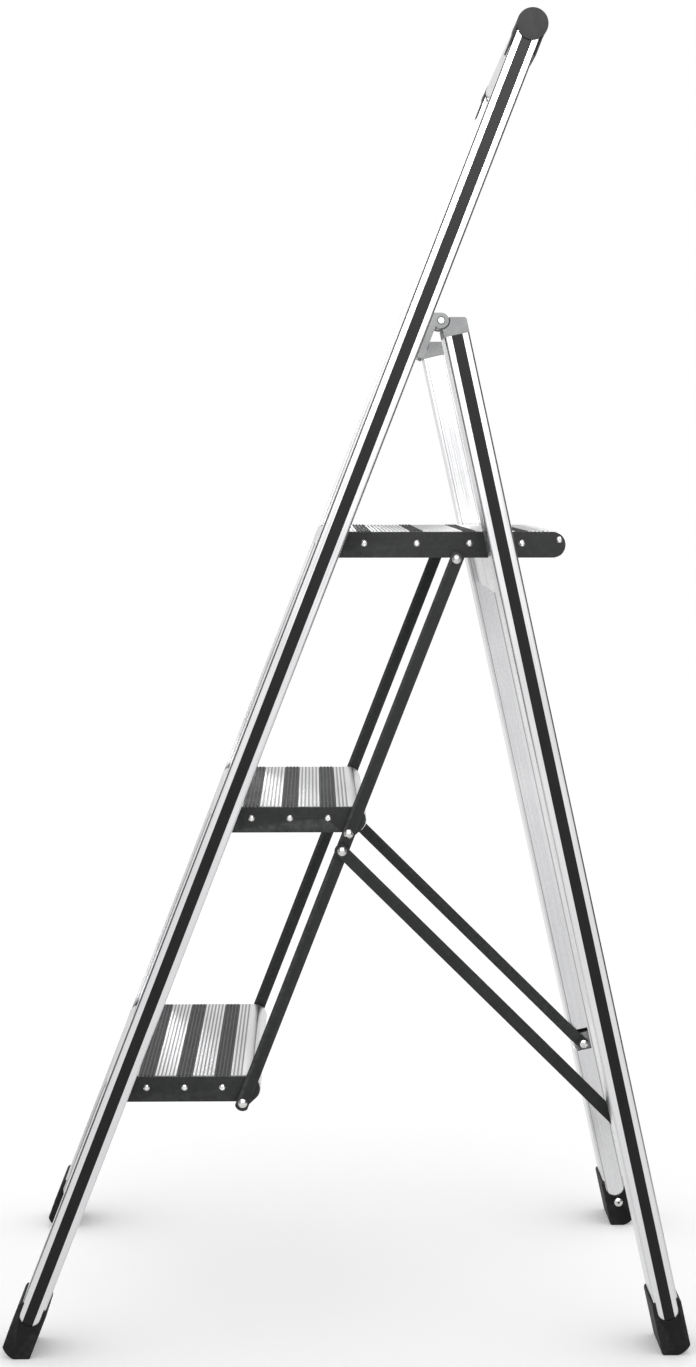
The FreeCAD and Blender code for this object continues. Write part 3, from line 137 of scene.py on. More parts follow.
@dataclass(frozen=True)
class Finish:
    """What every finish shares: a name, a colour and a gloss.

    Attributes:
        name: The material's name, after the real finish.
        colour: Main sRGB colour.
        shade: Second sRGB colour that the main one drifts to.
        roughness: Middle of the roughness range.
        slot: The record's material slot for this finish.
    """

    name: str
    colour: str
    shade: str
    roughness: float
    slot: str

    def start(self) -> tuple[bpy.types.NodeTree, bpy.types.NodeSocket]:
        """Makes an empty material.

        Returns:
            Its node tree and the Object coordinates socket.
        """
        material = bpy.data.materials.new(self.name)
        material.use_nodes = True
        tree = material.node_tree
        tree.nodes.clear()
        return tree, add_node(tree, "ShaderNodeTexCoord").outputs["Object"]

    def noise(self, tree: bpy.types.NodeTree, place: bpy.types.NodeSocket,
              grain: tuple[float, float, float], turn: float = 0.0,
              detail: float = 2.0) -> bpy.types.NodeSocket:
        """Adds noise whose grain has a real size.

        Args:
            tree: The node tree.
            place: Object coordinates.
            grain: Size of one grain along the three turned axes, in millimetres.
            turn: Turn of the grain about X, in radians.
            detail: Finer octaves on top of the grain.

        Returns:
            The noise value, about 0.5 in the middle.
        """
        metres = tuple(size * MM for size in grain)
        spread = add_node(tree, "ShaderNodeMapping", {
            "Vector": place, "Rotation": (turn, 0.0, 0.0), "Scale": metres},
            vector_type="TEXTURE")
        noise = add_node(tree, "ShaderNodeTexNoise", {
            "Vector": spread.outputs[0], "Scale": 1.0, "Detail": detail})
        return noise.outputs["Fac"]

    def remap(self, tree: bpy.types.NodeTree, value: bpy.types.NodeSocket, low: float,
              high: float, start: float = 0.3, end: float = 0.7) -> bpy.types.NodeSocket:
        """Adds a range change.

        Args:
            tree: The node tree.
            value: The value to change.
            low: Result at start.
            high: Result at end.
            start: Value that gives low.
            end: Value that gives high.

        Returns:
            The changed value.
        """
        node = add_node(tree, "ShaderNodeMapRange", {
            "Value": value, "From Min": start, "From Max": end, "To Min": low, "To Max": high})
        return node.outputs[0]

    def blend(self, tree: bpy.types.NodeTree, share: bpy.types.NodeSocket,
              first: object, second: object) -> bpy.types.NodeSocket:
        """Adds a mix of two colours.

        Args:
            tree: The node tree.
            share: How much of the second colour shows.
            first: Linear colour or socket.
            second: Linear colour or socket.

        Returns:
            The mixed colour.
        """
        node = add_node(tree, "ShaderNodeMix", {0: share, 6: first, 7: second},
                        data_type="RGBA")
        return node.outputs[2]

    def bump(self, tree: bpy.types.NodeTree, height: bpy.types.NodeSocket,
             depth: float, below: bpy.types.NodeSocket | None = None) -> bpy.types.NodeSocket:
        """Adds relief of a real depth.

        Args:
            tree: The node tree.
            height: Height from 0 to 1.
            depth: Height of the relief in millimetres.
            below: Normal of coarser relief under this one.

        Returns:
            The new normal.
        """
        inputs = {"Height": height, "Distance": depth * MM, "Strength": 1.0}
        if below is not None:
            inputs["Normal"] = below
        return add_node(tree, "ShaderNodeBump", inputs).outputs[0]

    def edge_highlight(self, tree: bpy.types.NodeTree, place: bpy.types.NodeSocket) -> bpy.types.NodeSocket:
        """Adds the share of painted highlight: convex edges, broken up by patches a few
        millimetres wide.

        Args:
            tree: The node tree.
            place: Object coordinates.

        Returns:
            Painted highlight from 0 to 1.
        """
        convex = add_node(tree, "ShaderNodeNewGeometry").outputs["Pointiness"]
        edge = self.remap(tree, convex, 0.0, 1.0, EDGE_HIGHLIGHT_START, EDGE_HIGHLIGHT_FULL)
        cloud = self.noise(tree, place, (EDGE_HIGHLIGHT_PATCH,) * 3)
        patches = self.remap(tree, cloud, EDGE_HIGHLIGHT_LEAST, 1.0)
        return add_node(tree, "ShaderNodeMath", {0: edge, 1: patches},
                        operation="MULTIPLY").outputs[0]

    def close(self, tree: bpy.types.NodeTree, inputs: dict) -> bpy.types.Material:
        """Ends the material with its surface shader.

        Args:
            tree: The node tree.
            inputs: The shader's inputs.

        Returns:
            The finished material.
        """
        shader = add_node(tree, "ShaderNodeBsdfPrincipled", inputs)
        add_node(tree, "ShaderNodeOutputMaterial", {"Surface": shader.outputs[0]})
        return bpy.data.materials[self.name]


class Facing(Enum):
    """Which way a grooved face looks: up, or inwards across the stool."""

    UP = "Z"
    INWARDS = "X"


@dataclass(frozen=True)
class Grooves:
    """A tone painted into grooves by depth under the face they are cut in; where it is darker than
    the face, it is painted shade.

    Attributes:
        tone: sRGB colour of the groove floors.
        face: Place of the grooved face in metres, from the floor or the middle plane.
        start: Depth at which the tone begins, in millimetres.
        end: Depth at which it has ended, in millimetres.
        amount: How much of the tone shows.
        facing: Which way the face looks.
        soft: Depth over which the tone fades in and out, in millimetres.
    """

    tone: str
    face: float
    start: float = 0.5
    end: float = 1.1
    amount: float = 0.8
    facing: Facing = Facing.UP
    soft: float = 0.15

    def over(self, finish: Finish, tree: bpy.types.NodeTree, place: bpy.types.NodeSocket,
             colour: bpy.types.NodeSocket) -> bpy.types.NodeSocket:
        """Lays the tone over a colour.

        Args:
            finish: The finish that is being built.
            tree: The node tree.
            place: Object coordinates.
            colour: The colour without the grooves.

        Returns:
            The colour with the grooves' tone.
        """
        axes = add_node(tree, "ShaderNodeSeparateXYZ", {0: place})
        along = add_node(tree, "ShaderNodeMath", {0: axes.outputs[self.facing.value]},
                         operation="ABSOLUTE").outputs[0]
        sign = 1.0 if self.facing is Facing.INWARDS else -1.0
        depth = add_node(tree, "ShaderNodeMath", {0: along, 1: sign / MM,
                                                  2: -sign * self.face / MM},
                         operation="MULTIPLY_ADD").outputs[0]
        below = finish.remap(tree, depth, 0.0, self.amount, self.start,
                             self.start + self.soft)
        above = finish.remap(tree, depth, 1.0, 0.0, self.end - self.soft, self.end)
        share = add_node(tree, "ShaderNodeMath", {0: below, 1: above},
                         operation="MULTIPLY").outputs[0]
        return finish.blend(tree, share, colour, linear(self.tone))


@dataclass(frozen=True)
class DrawnMetal(Finish):
    """Extruded or rolled metal: fine die lines run its whole length under a satin surface.

    Attributes:
        along: Direction of the die lines.
        line: Spacing of the die lines in millimetres.
        depth: Depth of the die lines in millimetres.
        grooves: Tone of the grooves in it, if it has them.
        stretch: Length of a die line over the lines' spacing.
        band: Width of the broad bands over the lines' spacing.
        cloud: Size in millimetres of the faint change of gloss over the surface.
        band_share: Most of the second colour that a band shows.
        line_share: Most of the second colour that a line shows.
        line_tone: Noise values at which a line's colour starts and is full.
        line_gloss: How much glossier and duller the lines are.
        cloud_gloss: How much glossier and duller the cloud is.
    """

    along: Along = Along.ACROSS
    line: float = 1.1
    depth: float = 0.004
    grooves: Grooves | None = None
    stretch: float = 220.0
    band: float = 7.0
    cloud: float = 60.0
    band_share: float = 0.55
    line_share: float = 0.25
    line_tone: tuple[float, float] = (0.4, 0.75)
    line_gloss: tuple[float, float] = (-0.06, 0.07)
    cloud_gloss: tuple[float, float] = (-0.03, 0.04)

    def material(self) -> bpy.types.Material:
        """Builds the finish.

        Returns:
            A metal whose gloss and tone change in long thin streaks.
        """
        tree, place = self.start()
        # Die lines are about a tenth of a millimetre apart; drawn coarser so that they show.
        length = self.line * self.stretch
        sizes = (self.line, self.line, length)
        if self.along is Along.ACROSS:
            sizes = (length, self.line, self.line)
        turn = self.along.value
        lines = self.noise(tree, place, sizes, turn)
        bands = self.noise(tree, place, tuple(size * self.band for size in sizes), turn)
        cloud = self.noise(tree, place, (self.cloud,) * 3)
        tone = self.blend(tree, self.remap(tree, bands, 0.0, self.band_share),
                          linear(self.colour), linear(self.shade))
        tone = self.blend(tree, self.remap(tree, lines, 0.0, self.line_share, *self.line_tone),
                          tone, linear(self.shade))
        if self.grooves is not None:
            tone = self.grooves.over(self, tree, place, tone)
        gloss = self.remap(tree, lines, *(self.roughness + swing for swing in self.line_gloss))
        drift = self.remap(tree, cloud, *self.cloud_gloss)
        gloss = add_node(tree, "ShaderNodeMath", {0: gloss, 1: drift},
                         operation="ADD").outputs[0]
        return self.close(tree, {
            "Base Color": tone, "Metallic": 1.0, "Roughness": gloss,
            "Normal": self.bump(tree, lines, self.depth)})


@dataclass(frozen=True)
class Coated(Finish):
    """Powder coat, enamel, moulded plastic or rubber: a coloured skin with a fine relief.

    Attributes:
        grain: Size of the relief's grains in millimetres.
        depth: Height of the relief in millimetres.
        edge: sRGB colour of the painted highlight on convex edges.
        highlight: Most painted highlight an edge shows, from 0 to 1.
        specular: Strength of the gloss.
        swing: How much glossier or duller rubbed patches are.
        grooves: Tone of the grooves between ribs, if it has them.
        handled: Size of the patches that handling leaves, in millimetres.
        grain_share: Most of the second colour that a grain shows.
        grain_tone: Noise values at which a grain's colour starts and is full.
        ripple: Width of the coarse ripple over the grain's.
        ripple_depth: Depth of the coarse ripple over the grain's.
    """

    grain: float = 0.6
    depth: float = 0.02
    edge: str = "#5A5A5A"
    wear: float = 0.5
    specular: float = 0.3
    swing: float = 0.08
    grooves: Grooves | None = None
    handled: tuple[float, float, float] = (28.0, 28.0, 40.0)
    grain_share: float = 0.8
    grain_tone: tuple[float, float] = (0.45, 0.75)
    ripple: float = 9.0
    ripple_depth: float = 0.6

    def material(self) -> bpy.types.Material:
        """Builds the finish.

        Returns:
            A coloured skin with grain, rubbed patches and a painted highlight on its edges.
        """
        tree, place = self.start()
        grains = self.noise(tree, place, (self.grain,) * 3, detail=3.0)
        patches = self.noise(tree, place, self.handled, detail=4.0)
        tone = self.blend(tree, self.remap(tree, patches, 0.0, 1.0),
                          linear(self.colour), linear(self.shade))
        tone = self.blend(tree, self.remap(tree, grains, 0.0, self.grain_share,
                                           *self.grain_tone),
                          tone, linear(self.shade))
        if self.grooves is not None:
            tone = self.grooves.over(self, tree, place, tone)
        # Painted highlight: convex edges turn to the edge colour, in patches.
        edge_highlight = add_node(tree, "ShaderNodeMath", {0: self.edge_highlight(tree, place), 1: self.wear},
                        operation="MULTIPLY").outputs[0]
        tone = self.blend(tree, edge_highlight, tone, linear(self.edge))
        gloss = self.remap(tree, patches, self.roughness - self.swing,
                           self.roughness + self.swing)
        ripple = self.bump(tree, self.noise(tree, place, (self.grain * self.ripple,) * 3),
                           self.depth * self.ripple_depth)
        return self.close(tree, {
            "Base Color": tone, "Metallic": 0.0, "Roughness": gloss,
            "Specular IOR Level": self.specular,
            "Normal": self.bump(tree, grains, self.depth, ripple)})


@dataclass(frozen=True)
class TurnedSteel(Finish):
    """Bright steel fasteners: smooth, with small dents from setting and a faint cloud.

    Attributes:
        dent: Size of the dents in millimetres.
        dent_depth: Depth of the dents in millimetres.
        cloud: Size in millimetres of the faint change of gloss and colour.
        cloud_gloss: How much glossier and duller the cloud is.
    """

    dent: float = 0.9
    dent_depth: float = 0.012
    cloud: float = 4.0
    cloud_gloss: tuple[float, float] = (-0.05, 0.08)

    def material(self) -> bpy.types.Material:
        """Builds the finish.

        Returns:
            A bright metal with a soft dented gloss.
        """
        tree, place = self.start()
        # A driver or a rivet die leaves marks about half as wide; coarser here so that they show.
        dents = self.noise(tree, place, (self.dent,) * 3)
        cloud = self.noise(tree, place, (self.cloud,) * 3)
        tone = self.blend(tree, self.remap(tree, cloud, 0.0, 1.0),
                          linear(self.colour), linear(self.shade))
        gloss = self.remap(tree, cloud, *(self.roughness + swing for swing in self.cloud_gloss))
        return self.close(tree, {
            "Base Color": tone, "Metallic": 1.0, "Roughness": gloss,
            "Normal": self.bump(tree, dents, self.dent_depth)})


# The rails' and legs' inner faces lie on one plane, with two die grooves cut in each.
INNER_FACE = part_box("rear_leg_right")[0].x
# Painted shade: the two die grooves darken by depth under the inner face.
DIE_GROOVES = Grooves("#6C6D6F", INNER_FACE, start=0.12, end=0.8, amount=0.75,
                      facing=Facing.INWARDS)
# Satin anodised extrusion, pale silver: bright faces that mirror the room softly,
# with hair-thin lines down their length.
RAIL_ALUMINIUM = DrawnMetal("anodised_aluminium_rail", "#D7D7D8", "#CBCBCD", 0.27,
                            "anodised_profile", along=Along.RAIL, grooves=DIE_GROOVES)
LEG_ALUMINIUM = DrawnMetal("anodised_aluminium_leg", "#D7D7D8", "#CBCBCD", 0.27,
                           "anodised_profile", along=Along.LEG, grooves=DIE_GROOVES)
# Round handle tube, drawn across the stool.
TUBE_ALUMINIUM = DrawnMetal("anodised_aluminium_tube", "#D6D6D7", "#C8C9CA", 0.25, "handle_tube",
                            line=0.9, depth=0.003)
# Black vinyl strip: even, softly glossy along the top where light falls.
STRIP_VINYL = Coated("black_vinyl_strip", "#121212", "#181818", 0.40, "black_strip", grain=0.7,
                     depth=0.02, edge="#242424", wear=0.2, specular=0.16, swing=0.03)
# Charcoal powder coat on steel flats: fine orange peel, with a faint painted highlight on the
# edges.
BAR_POWDER = Coated("charcoal_powder_coat_bar", "#1B1C1C", "#222323", 0.46, "flat_bar", grain=0.9,
                    depth=0.022, edge="#505152", wear=0.5, specular=0.2, swing=0.04)
PLATE_POWDER = Coated("charcoal_powder_coat_plate", "#1D1E1E", "#242526", 0.45, "side_plate",
                      grain=0.9, depth=0.022, edge="#58595A", wear=0.55, specular=0.22, swing=0.04)
# Grey enamel over cast brackets and leg caps: pebbled skin that scatters light.
CAST_ENAMEL = Coated("grey_enamel_casting", "#A6A7A8", "#7C7D7E", 0.42, "grey_casting", grain=1.1,
                     depth=0.09, edge="#C4C4C4", wear=0.5, specular=0.4, swing=0.08)
# Moulded nylon end caps and blocks: close matt grain from the mould.
MOULDED_BLACK = Coated("moulded_black_nylon", "#151515", "#1B1B1B", 0.50, "black_plastic",
                       grain=0.6, depth=0.03, edge="#343434", wear=0.5, specular=0.2, swing=0.05)
MOULDED_GREY = Coated("moulded_grey_nylon", "#A9AAAB", "#9C9D9E", 0.50, "grey_plastic", grain=0.6,
                      depth=0.03, edge="#A8A8A8", wear=0.4, specular=0.3, swing=0.05)
# Moulded rubber feet: dull, with a grey painted highlight on the proud edges.
FOOT_RUBBER = Coated("moulded_black_rubber", "#0F0F0F", "#141414", 0.62, "black_rubber", grain=0.8,
                     depth=0.045, edge="#5C5C5C", wear=0.6, specular=0.12, swing=0.05)
RIVET_STEEL = TurnedSteel("bright_steel_rivet", "#DADAD8", "#C4C4C2", 0.22, "steel_rivet")
SCREW_STEEL = TurnedSteel("zinc_plated_screw", "#E2E2E0", "#CBCBC8", 0.24, "steel_screw")


# ---------------------------------------------------------------- pieces


@dataclass
class Softened:
    """A frame node made into a finished piece with rounded edges and smooth curves.

    Attributes:
        node: The frame node it stands for.
        edges: How its edges are rounded.
    """

    node: str
    edges: Edges

    def build(self, name: str) -> bpy.types.Object:
        """Copies the node's skin, merges it and rounds its edges.

        Args:
            name: The new piece's name.

        Returns:
            The new piece, still without a body or a finish.
        """
        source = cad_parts[self.node].data
        shell = bmesh.new()
        shell.from_mesh(source)
        bmesh.ops.remove_doubles(shell, verts=shell.verts, dist=MERGE_GAP)
        bmesh.ops.dissolve_limit(shell, angle_limit=FLAT_ANGLE, verts=shell.verts,
                                 edges=shell.edges, delimit={"NORMAL"})
        skin = bpy.data.meshes.new(name)
        shell.to_mesh(skin)
        shell.free()
        skin.materials.clear()
        skin.shade_smooth()
        skin.set_sharp_from_angle(angle=SHARP_ANGLE)
        piece = bpy.data.objects.new(name, skin)
        bpy.context.scene.collection.objects.link(piece)
        radius, segments = self.edges.value
        if radius:
            bevel = piece.modifiers.new("edge_radius", "BEVEL")
            bevel.width = radius * MM
            bevel.segments = segments
            bevel.limit_method = "ANGLE"
            bevel.angle_limit = SHARP_ANGLE
            bevel.miter_outer = "MITER_ARC"
        even = piece.modifiers.new("even_flats", "WEIGHTED_NORMAL")
        even.keep_sharp = True
        return piece


@dataclass
class Assembly:
    """A body of the stool with the pieces that ride on it.

    Attributes:
        body: Name of the frame body.
        finishes: Finish objects to their built materials, shared by all assemblies.
    """

    body: str = "front_frame"
    finishes: dict[Finish, bpy.types.Material] = field(default_factory=dict)

    def dress(self, node: str, finish: Finish,
              edges: Edges = Edges.AS_MADE) -> bpy.types.Object:
        """Makes one finished piece from a frame node.

        Args:
            node: The frame node.
            finish: Its finish.
            edges: How its edges are rounded.

        Returns:
            The piece, riding on the body in place of the node.
        """
        piece = Softened(node, edges).build(f"{node}_finished")
        piece.data.materials.append(self.finishes[finish])
        self.settle(piece, finish.slot, node)
        return piece

    def settle(self, piece: bpy.types.Object, slot: str, *nodes: str) -> None:
        """Gives a piece its body and hides the frame nodes it stands for.

        Args:
            piece: The piece.
            slot: The record's material slot; not used.
            *nodes: Frame nodes it replaces.
        """
        if nodes:
            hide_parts(*nodes)
        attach(piece, self.body)
        count = sum(len(face.vertices) - 2 for face in piece.data.polygons)
        log.info("%s rides on %s: %d triangles before its edges", piece.name, self.body, count)


@dataclass
class PinShadowRing:
    """A thin black ring around a hinge pin's head, against the casting: a painted shadow for the
    shade round the head.

    Attributes:
        radius: Middle of the ring from the pin's axis, in millimetres.
        wire: Radius of the ring's round section, in millimetres.
        sides: Faces around the section.
        turns: Faces around the pin.
    """

    radius: float = 3.3
    wire: float = 0.32
    sides: int = 10
    turns: int = 48

    def build(self, name: str, places: list[Vector]) -> bpy.types.Object:
        """Makes one ring at each place, all around the X axis.

        Args:
            name: The piece's name.
            places: Middles of the rings.

        Returns:
            The rings as one piece.
        """
        rings = bmesh.new()
        for place in places:
            start = place + Vector((0.0, self.radius * MM, 0.0))
            section = bmesh.ops.create_circle(
                rings, segments=self.sides, radius=self.wire * MM,
                matrix=Matrix.Translation(start))["verts"]
            edges = list({edge for vert in section for edge in vert.link_edges})
            bmesh.ops.spin(rings, geom=section + edges, cent=place, axis=(1.0, 0.0, 0.0),
                           angle=math.tau, steps=self.turns, use_merge=True)
        bmesh.ops.remove_doubles(rings, verts=rings.verts, dist=MERGE_GAP)
        bmesh.ops.recalc_face_normals(rings, faces=rings.faces)
        skin = bpy.data.meshes.new(name)
        rings.to_mesh(skin)
        rings.free()
        skin.shade_smooth()
        piece = bpy.data.objects.new(name, skin)
        bpy.context.scene.collection.objects.link(piece)
        return piece


@dataclass
class FrontFrame(Assembly):
    """Front rails with their strips, handle, feet and hinge castings."""

    body: str = "front_frame"

    def build(self) -> None:
        """Makes every piece of the front frame."""
        for side in ("right", "left"):
            self.dress(f"front_rail_{side}", RAIL_ALUMINIUM, Edges.EXTRUDED)
            self.dress(f"front_strip_{side}", STRIP_VINYL, Edges.SAWN)
            self.dress(f"handle_end_{side}", MOULDED_BLACK, Edges.CAST)
            self.dress(f"front_foot_{side}", FOOT_RUBBER, Edges.RUBBER)
            self.dress(f"hinge_bracket_{side}", CAST_ENAMEL, Edges.CAST)
        self.dress("handle_tube", TUBE_ALUMINIUM, Edges.SAWN)
        for node in ("front_foot_rivets", "bracket_rivets", "hinge_pins"):
            self.dress(node, RIVET_STEEL)
        self.dress("pivot_blocks", MOULDED_BLACK, Edges.EASED)
        self.dress("pivot_pins", RIVET_STEEL)
        self.dress("pivot_bushes", MOULDED_BLACK)
        self.rings()

    def rings(self) -> None:
        """Makes the black rings of painted shadow around the hinge pins' heads, on both faces of
        each casting.
        """
        low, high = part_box("hinge_pins")
        middle = (low + high) / 2
        for side in ("right", "left"):
            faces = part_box(f"hinge_bracket_{side}")
            places = [Vector((face.x, middle.y, middle.z)) for face in faces]
            # Painted shadow: a black ring stands for the shade around each pin head.
            piece = PinShadowRing().build(f"hinge_pin_shadow_rings_{side}", places)
            piece.data.materials.append(self.finishes[MOULDED_BLACK])
            self.settle(piece, MOULDED_BLACK.slot)


@dataclass
class RearFrame(Assembly):
    """Rear legs with their strips, caps, feet and the wide crossbar."""

    body: str = "rear_frame"

    def build(self) -> None:
        """Makes every piece of the rear frame."""
        for side in ("right", "left"):
            self.dress(f"rear_leg_{side}", LEG_ALUMINIUM, Edges.EXTRUDED)
            self.dress(f"rear_strip_{side}", STRIP_VINYL, Edges.SAWN)
            self.dress(f"leg_cap_{side}", CAST_ENAMEL, Edges.CAST)
            self.dress(f"rear_foot_{side}", FOOT_RUBBER, Edges.RUBBER)
        self.dress("crossbar", LEG_ALUMINIUM, Edges.EASED)
        self.dress("crossbar_rivets", RIVET_STEEL)
        self.dress("rear_foot_rivets", RIVET_STEEL)
        self.dress("strut_blocks", MOULDED_GREY, Edges.EASED)
        self.dress("strut_pins", RIVET_STEEL)


@dataclass
class Step(Assembly):
    """One hinged step: two coated side plates, a ribbed tread, grip inlays and screws.

    Attributes:
        prefix: What the names of the step's frame nodes begin with.
    """

    prefix: str = "platform"

    def tread_metal(self) -> DrawnMetal:
        """The ribbed extrusion, drawn across the stool: pale rib tops, shaded grooves."""
        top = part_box(f"{self.prefix}_tread")[1].z
        # Painted shade: the tread's grooves darken by depth under the rib tops.
        return DrawnMetal(f"anodised_aluminium_{self.prefix}_tread", "#E2E2E2", "#D4D4D5",
                          0.40, "ribbed_aluminium", line=0.8, grooves=Grooves("#6E6F71", top))

    def grip_inlay(self) -> Coated:
        """Soft grip strips: matt dark rib tops with paler grey grooves between them."""
        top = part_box(f"{self.prefix}_inlays")[1].z
        return Coated(f"soft_grip_{self.prefix}_inlay", "#323233", "#3A3A3B", 0.62, "dark_inlay",
                      grain=0.7, depth=0.03, edge="#6A6B6C", wear=0.3, specular=0.15, swing=0.05,
                      grooves=Grooves("#8A8B8C", top, end=2.4))

    def build(self) -> None:
        """Makes every piece of the step."""
        for side in ("right", "left"):
            self.dress(f"{self.prefix}_side_{side}", PLATE_POWDER, Edges.SHEARED)
        for part, finish in (("tread", self.tread_metal()), ("inlays", self.grip_inlay())):
            self.finishes[finish] = finish.material()
            self.dress(f"{self.prefix}_{part}", finish)
        self.dress(f"{self.prefix}_screws", SCREW_STEEL)


@dataclass
class LinkBar(Assembly):
    """A flat bar that couples the three steps on one side.

    Attributes:
        side: Which side of the stool it is on.
    """

    side: str = "right"

    def build(self) -> None:
        """Makes the bar, its rivets and its washers."""
        self.dress(f"link_bar_{self.side}", BAR_POWDER, Edges.SHEARED)
        self.dress(f"link_rivets_{self.side}", RIVET_STEEL)
        self.dress(f"link_washers_{self.side}", MOULDED_BLACK)


@dataclass
class Strut(Assembly):
    """A flat stay between a link bar and a rear leg.

    Attributes:
        side: Which side of the stool it is on.
    """

    side: str = "right"

    def build(self) -> None:
        """Makes the stay, its rivet and its spacer."""
        self.dress(f"strut_{self.side}", BAR_POWDER, Edges.SHEARED)
        self.dress(f"strut_rivet_{self.side}", RIVET_STEEL)
        self.dress(f"strut_spacer_{self.side}", MOULDED_BLACK)


# ---------------------------------------------------------------- studio


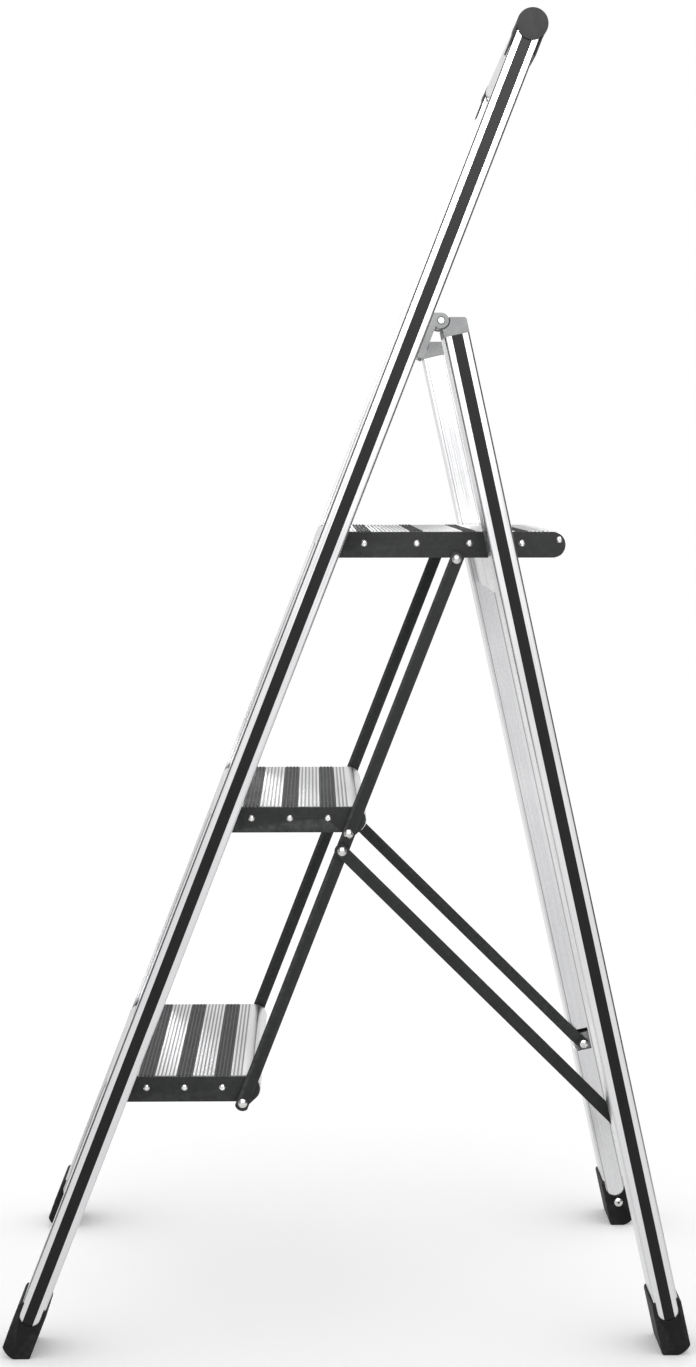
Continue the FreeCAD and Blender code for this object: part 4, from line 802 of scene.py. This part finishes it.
@dataclass
class Studio:
    """A pale flat floor, soft light and the camera.

    Attributes:
        floor_half: Half width of the floor in metres.
        floor_glow: Light the floor gives of itself, which keeps it white up to the feet.
        world_light: Brightness of the surrounding white.
        softbox_power: Power of the high softbox in watts.
        softbox_size: Width and height of the softbox in metres.
        softbox_place: Place of the softbox in metres.
        softbox_aim: Point in metres that the softbox faces.
        flag_light: Brightness of the dark flags in front of and behind the stool.
        flag_half: Half width of a flag in metres.
        flag_reach: Distance of a flag from the middle, along Y in metres.
        flag_height: Height of a flag's middle in metres.
        camera_place: Place of the camera in metres.
        camera_down: How far the camera looks down.
        camera_turn: How far the camera turns towards the rear.
        lens: Focal length in millimetres.
        sensor: Width of the camera's sensor in millimetres.
    """

    floor_half: float = 7.0
    floor_glow: float = 0.1
    world_light: float = 1.0
    softbox_power: float = 132.0
    softbox_size: tuple[float, float] = (2.2, 1.6)
    softbox_place: tuple[float, float, float] = (2.6, 0.0, 2.3)
    softbox_aim: tuple[float, float, float] = (0.0, 0.0, 0.9)
    flag_light: float = 0.1
    flag_half: float = 1.4
    flag_reach: float = 1.3
    flag_height: float = 1.1
    camera_place: tuple[float, float, float] = (2.3305, -0.03256, 0.8428)
    camera_down: float = math.radians(5.192)
    camera_turn: float = math.radians(0.902)
    lens: float = 59.64
    sensor: float = 36.0

    def build(self) -> None:
        """Makes the floor, the lights and the camera."""
        self.floor()
        self.lights()
        self.camera()

    def floor(self) -> None:
        """Makes a flat pale floor that carries on past the view."""
        ground = bmesh.new()
        bmesh.ops.create_grid(ground, x_segments=4, y_segments=4, size=self.floor_half)
        sheet = bpy.data.meshes.new("studio_floor")
        ground.to_mesh(sheet)
        ground.free()
        floor = bpy.data.objects.new("studio_floor", sheet)
        bpy.context.scene.collection.objects.link(floor)
        paper = bpy.data.materials.new("matt_white_paper")
        paper.use_nodes = True
        paper.node_tree.nodes.clear()
        matt = add_node(paper.node_tree, "ShaderNodeBsdfDiffuse", {"Color": linear("#FAFAFA")})
        glow = add_node(paper.node_tree, "ShaderNodeEmission", {"Strength": self.floor_glow})
        both = add_node(paper.node_tree, "ShaderNodeAddShader", {
            0: matt.outputs[0], 1: glow.outputs[0]})
        add_node(paper.node_tree, "ShaderNodeOutputMaterial", {"Surface": both.outputs[0]})
        sheet.materials.append(paper)

    def lights(self) -> None:
        """Makes the white surround, the high softbox and the two dark flags."""
        world = bpy.data.worlds.new("white_surround")
        bpy.context.scene.world = world
        world.use_nodes = True
        world.node_tree.nodes.clear()
        glow = add_node(world.node_tree, "ShaderNodeBackground", {
            "Color": linear("#FFFFFF"), "Strength": self.world_light})
        add_node(world.node_tree, "ShaderNodeOutputWorld", {"Surface": glow.outputs[0]})
        lamp = bpy.data.lights.new("high_softbox", "AREA")
        lamp.shape = "RECTANGLE"
        lamp.size, lamp.size_y = self.softbox_size
        lamp.energy = self.softbox_power
        box = bpy.data.objects.new("high_softbox", lamp)
        box.location = self.softbox_place
        aim = Vector(self.softbox_aim) - box.location
        box.rotation_euler = aim.to_track_quat("-Z", "Y").to_euler()
        # It shows in gloss only, so the floor and the matt skins keep one even tone.
        box.visible_diffuse = False
        bpy.context.scene.collection.objects.link(box)
        for name, side in (("front_flag", -1), ("rear_flag", 1)):
            self.flag(name, side * self.flag_reach)

    def flag(self, name: str, place: float) -> None:
        """Makes a dark panel that only glossy surfaces see, which draws dark edge lines.

        Args:
            name: The panel's name.
            place: Its place along Y in metres.
        """
        panel = bmesh.new()
        bmesh.ops.create_grid(panel, x_segments=1, y_segments=1, size=self.flag_half,
                              matrix=Matrix.Translation((0.0, place, self.flag_height))
                              @ Matrix.Rotation(math.radians(90), 4, "X"))
        sheet = bpy.data.meshes.new(name)
        panel.to_mesh(sheet)
        panel.free()
        shade = bpy.data.materials.new(f"{name}_cloth")
        shade.use_nodes = True
        shade.node_tree.nodes.clear()
        glow = add_node(shade.node_tree, "ShaderNodeEmission", {
            "Color": linear("#FFFFFF"), "Strength": self.flag_light})
        add_node(shade.node_tree, "ShaderNodeOutputMaterial", {"Surface": glow.outputs[0]})
        sheet.materials.append(shade)
        flag = bpy.data.objects.new(name, sheet)
        bpy.context.scene.collection.objects.link(flag)
        flag.visible_camera = False
        flag.visible_diffuse = False
        flag.visible_shadow = False

    def camera(self) -> None:
        """Makes the camera, slightly above the platform and square to the stool's side."""
        lens = bpy.data.cameras.new("side_camera")
        lens.lens = self.lens
        lens.sensor_width = self.sensor
        lens.sensor_fit = "AUTO"
        lens.dof.use_dof = False
        camera = bpy.data.objects.new("side_camera", lens)
        camera.location = self.camera_place
        ahead = Vector((-math.cos(self.camera_down) * math.cos(self.camera_turn),
                        math.cos(self.camera_down) * math.sin(self.camera_turn),
                        -math.sin(self.camera_down)))
        camera.rotation_euler = ahead.to_track_quat("-Z", "Y").to_euler()
        bpy.context.scene.collection.objects.link(camera)
        bpy.context.scene.camera = camera
        bpy.context.scene.view_settings.view_transform = "Standard"


def main() -> None:
    logging.basicConfig(level=logging.INFO, format="%(message)s")
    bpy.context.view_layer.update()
    finishes = {finish: finish.material() for finish in (
        RAIL_ALUMINIUM, LEG_ALUMINIUM, TUBE_ALUMINIUM, STRIP_VINYL,
        BAR_POWDER, PLATE_POWDER, CAST_ENAMEL, MOULDED_BLACK, MOULDED_GREY, FOOT_RUBBER,
        RIVET_STEEL, SCREW_STEEL)}
    FrontFrame(finishes=finishes).build()
    RearFrame(finishes=finishes).build()
    for body, prefix in (("platform", "platform"), ("middle_step", "middle"),
                         ("lower_step", "lower")):
        Step(body, finishes, prefix=prefix).build()
    for side in ("right", "left"):
        LinkBar(f"{side}_link", finishes, side=side).build()
        Strut(f"{side}_strut", finishes, side=side).build()
    Studio().build()


if __name__ == "__main__":
    main()
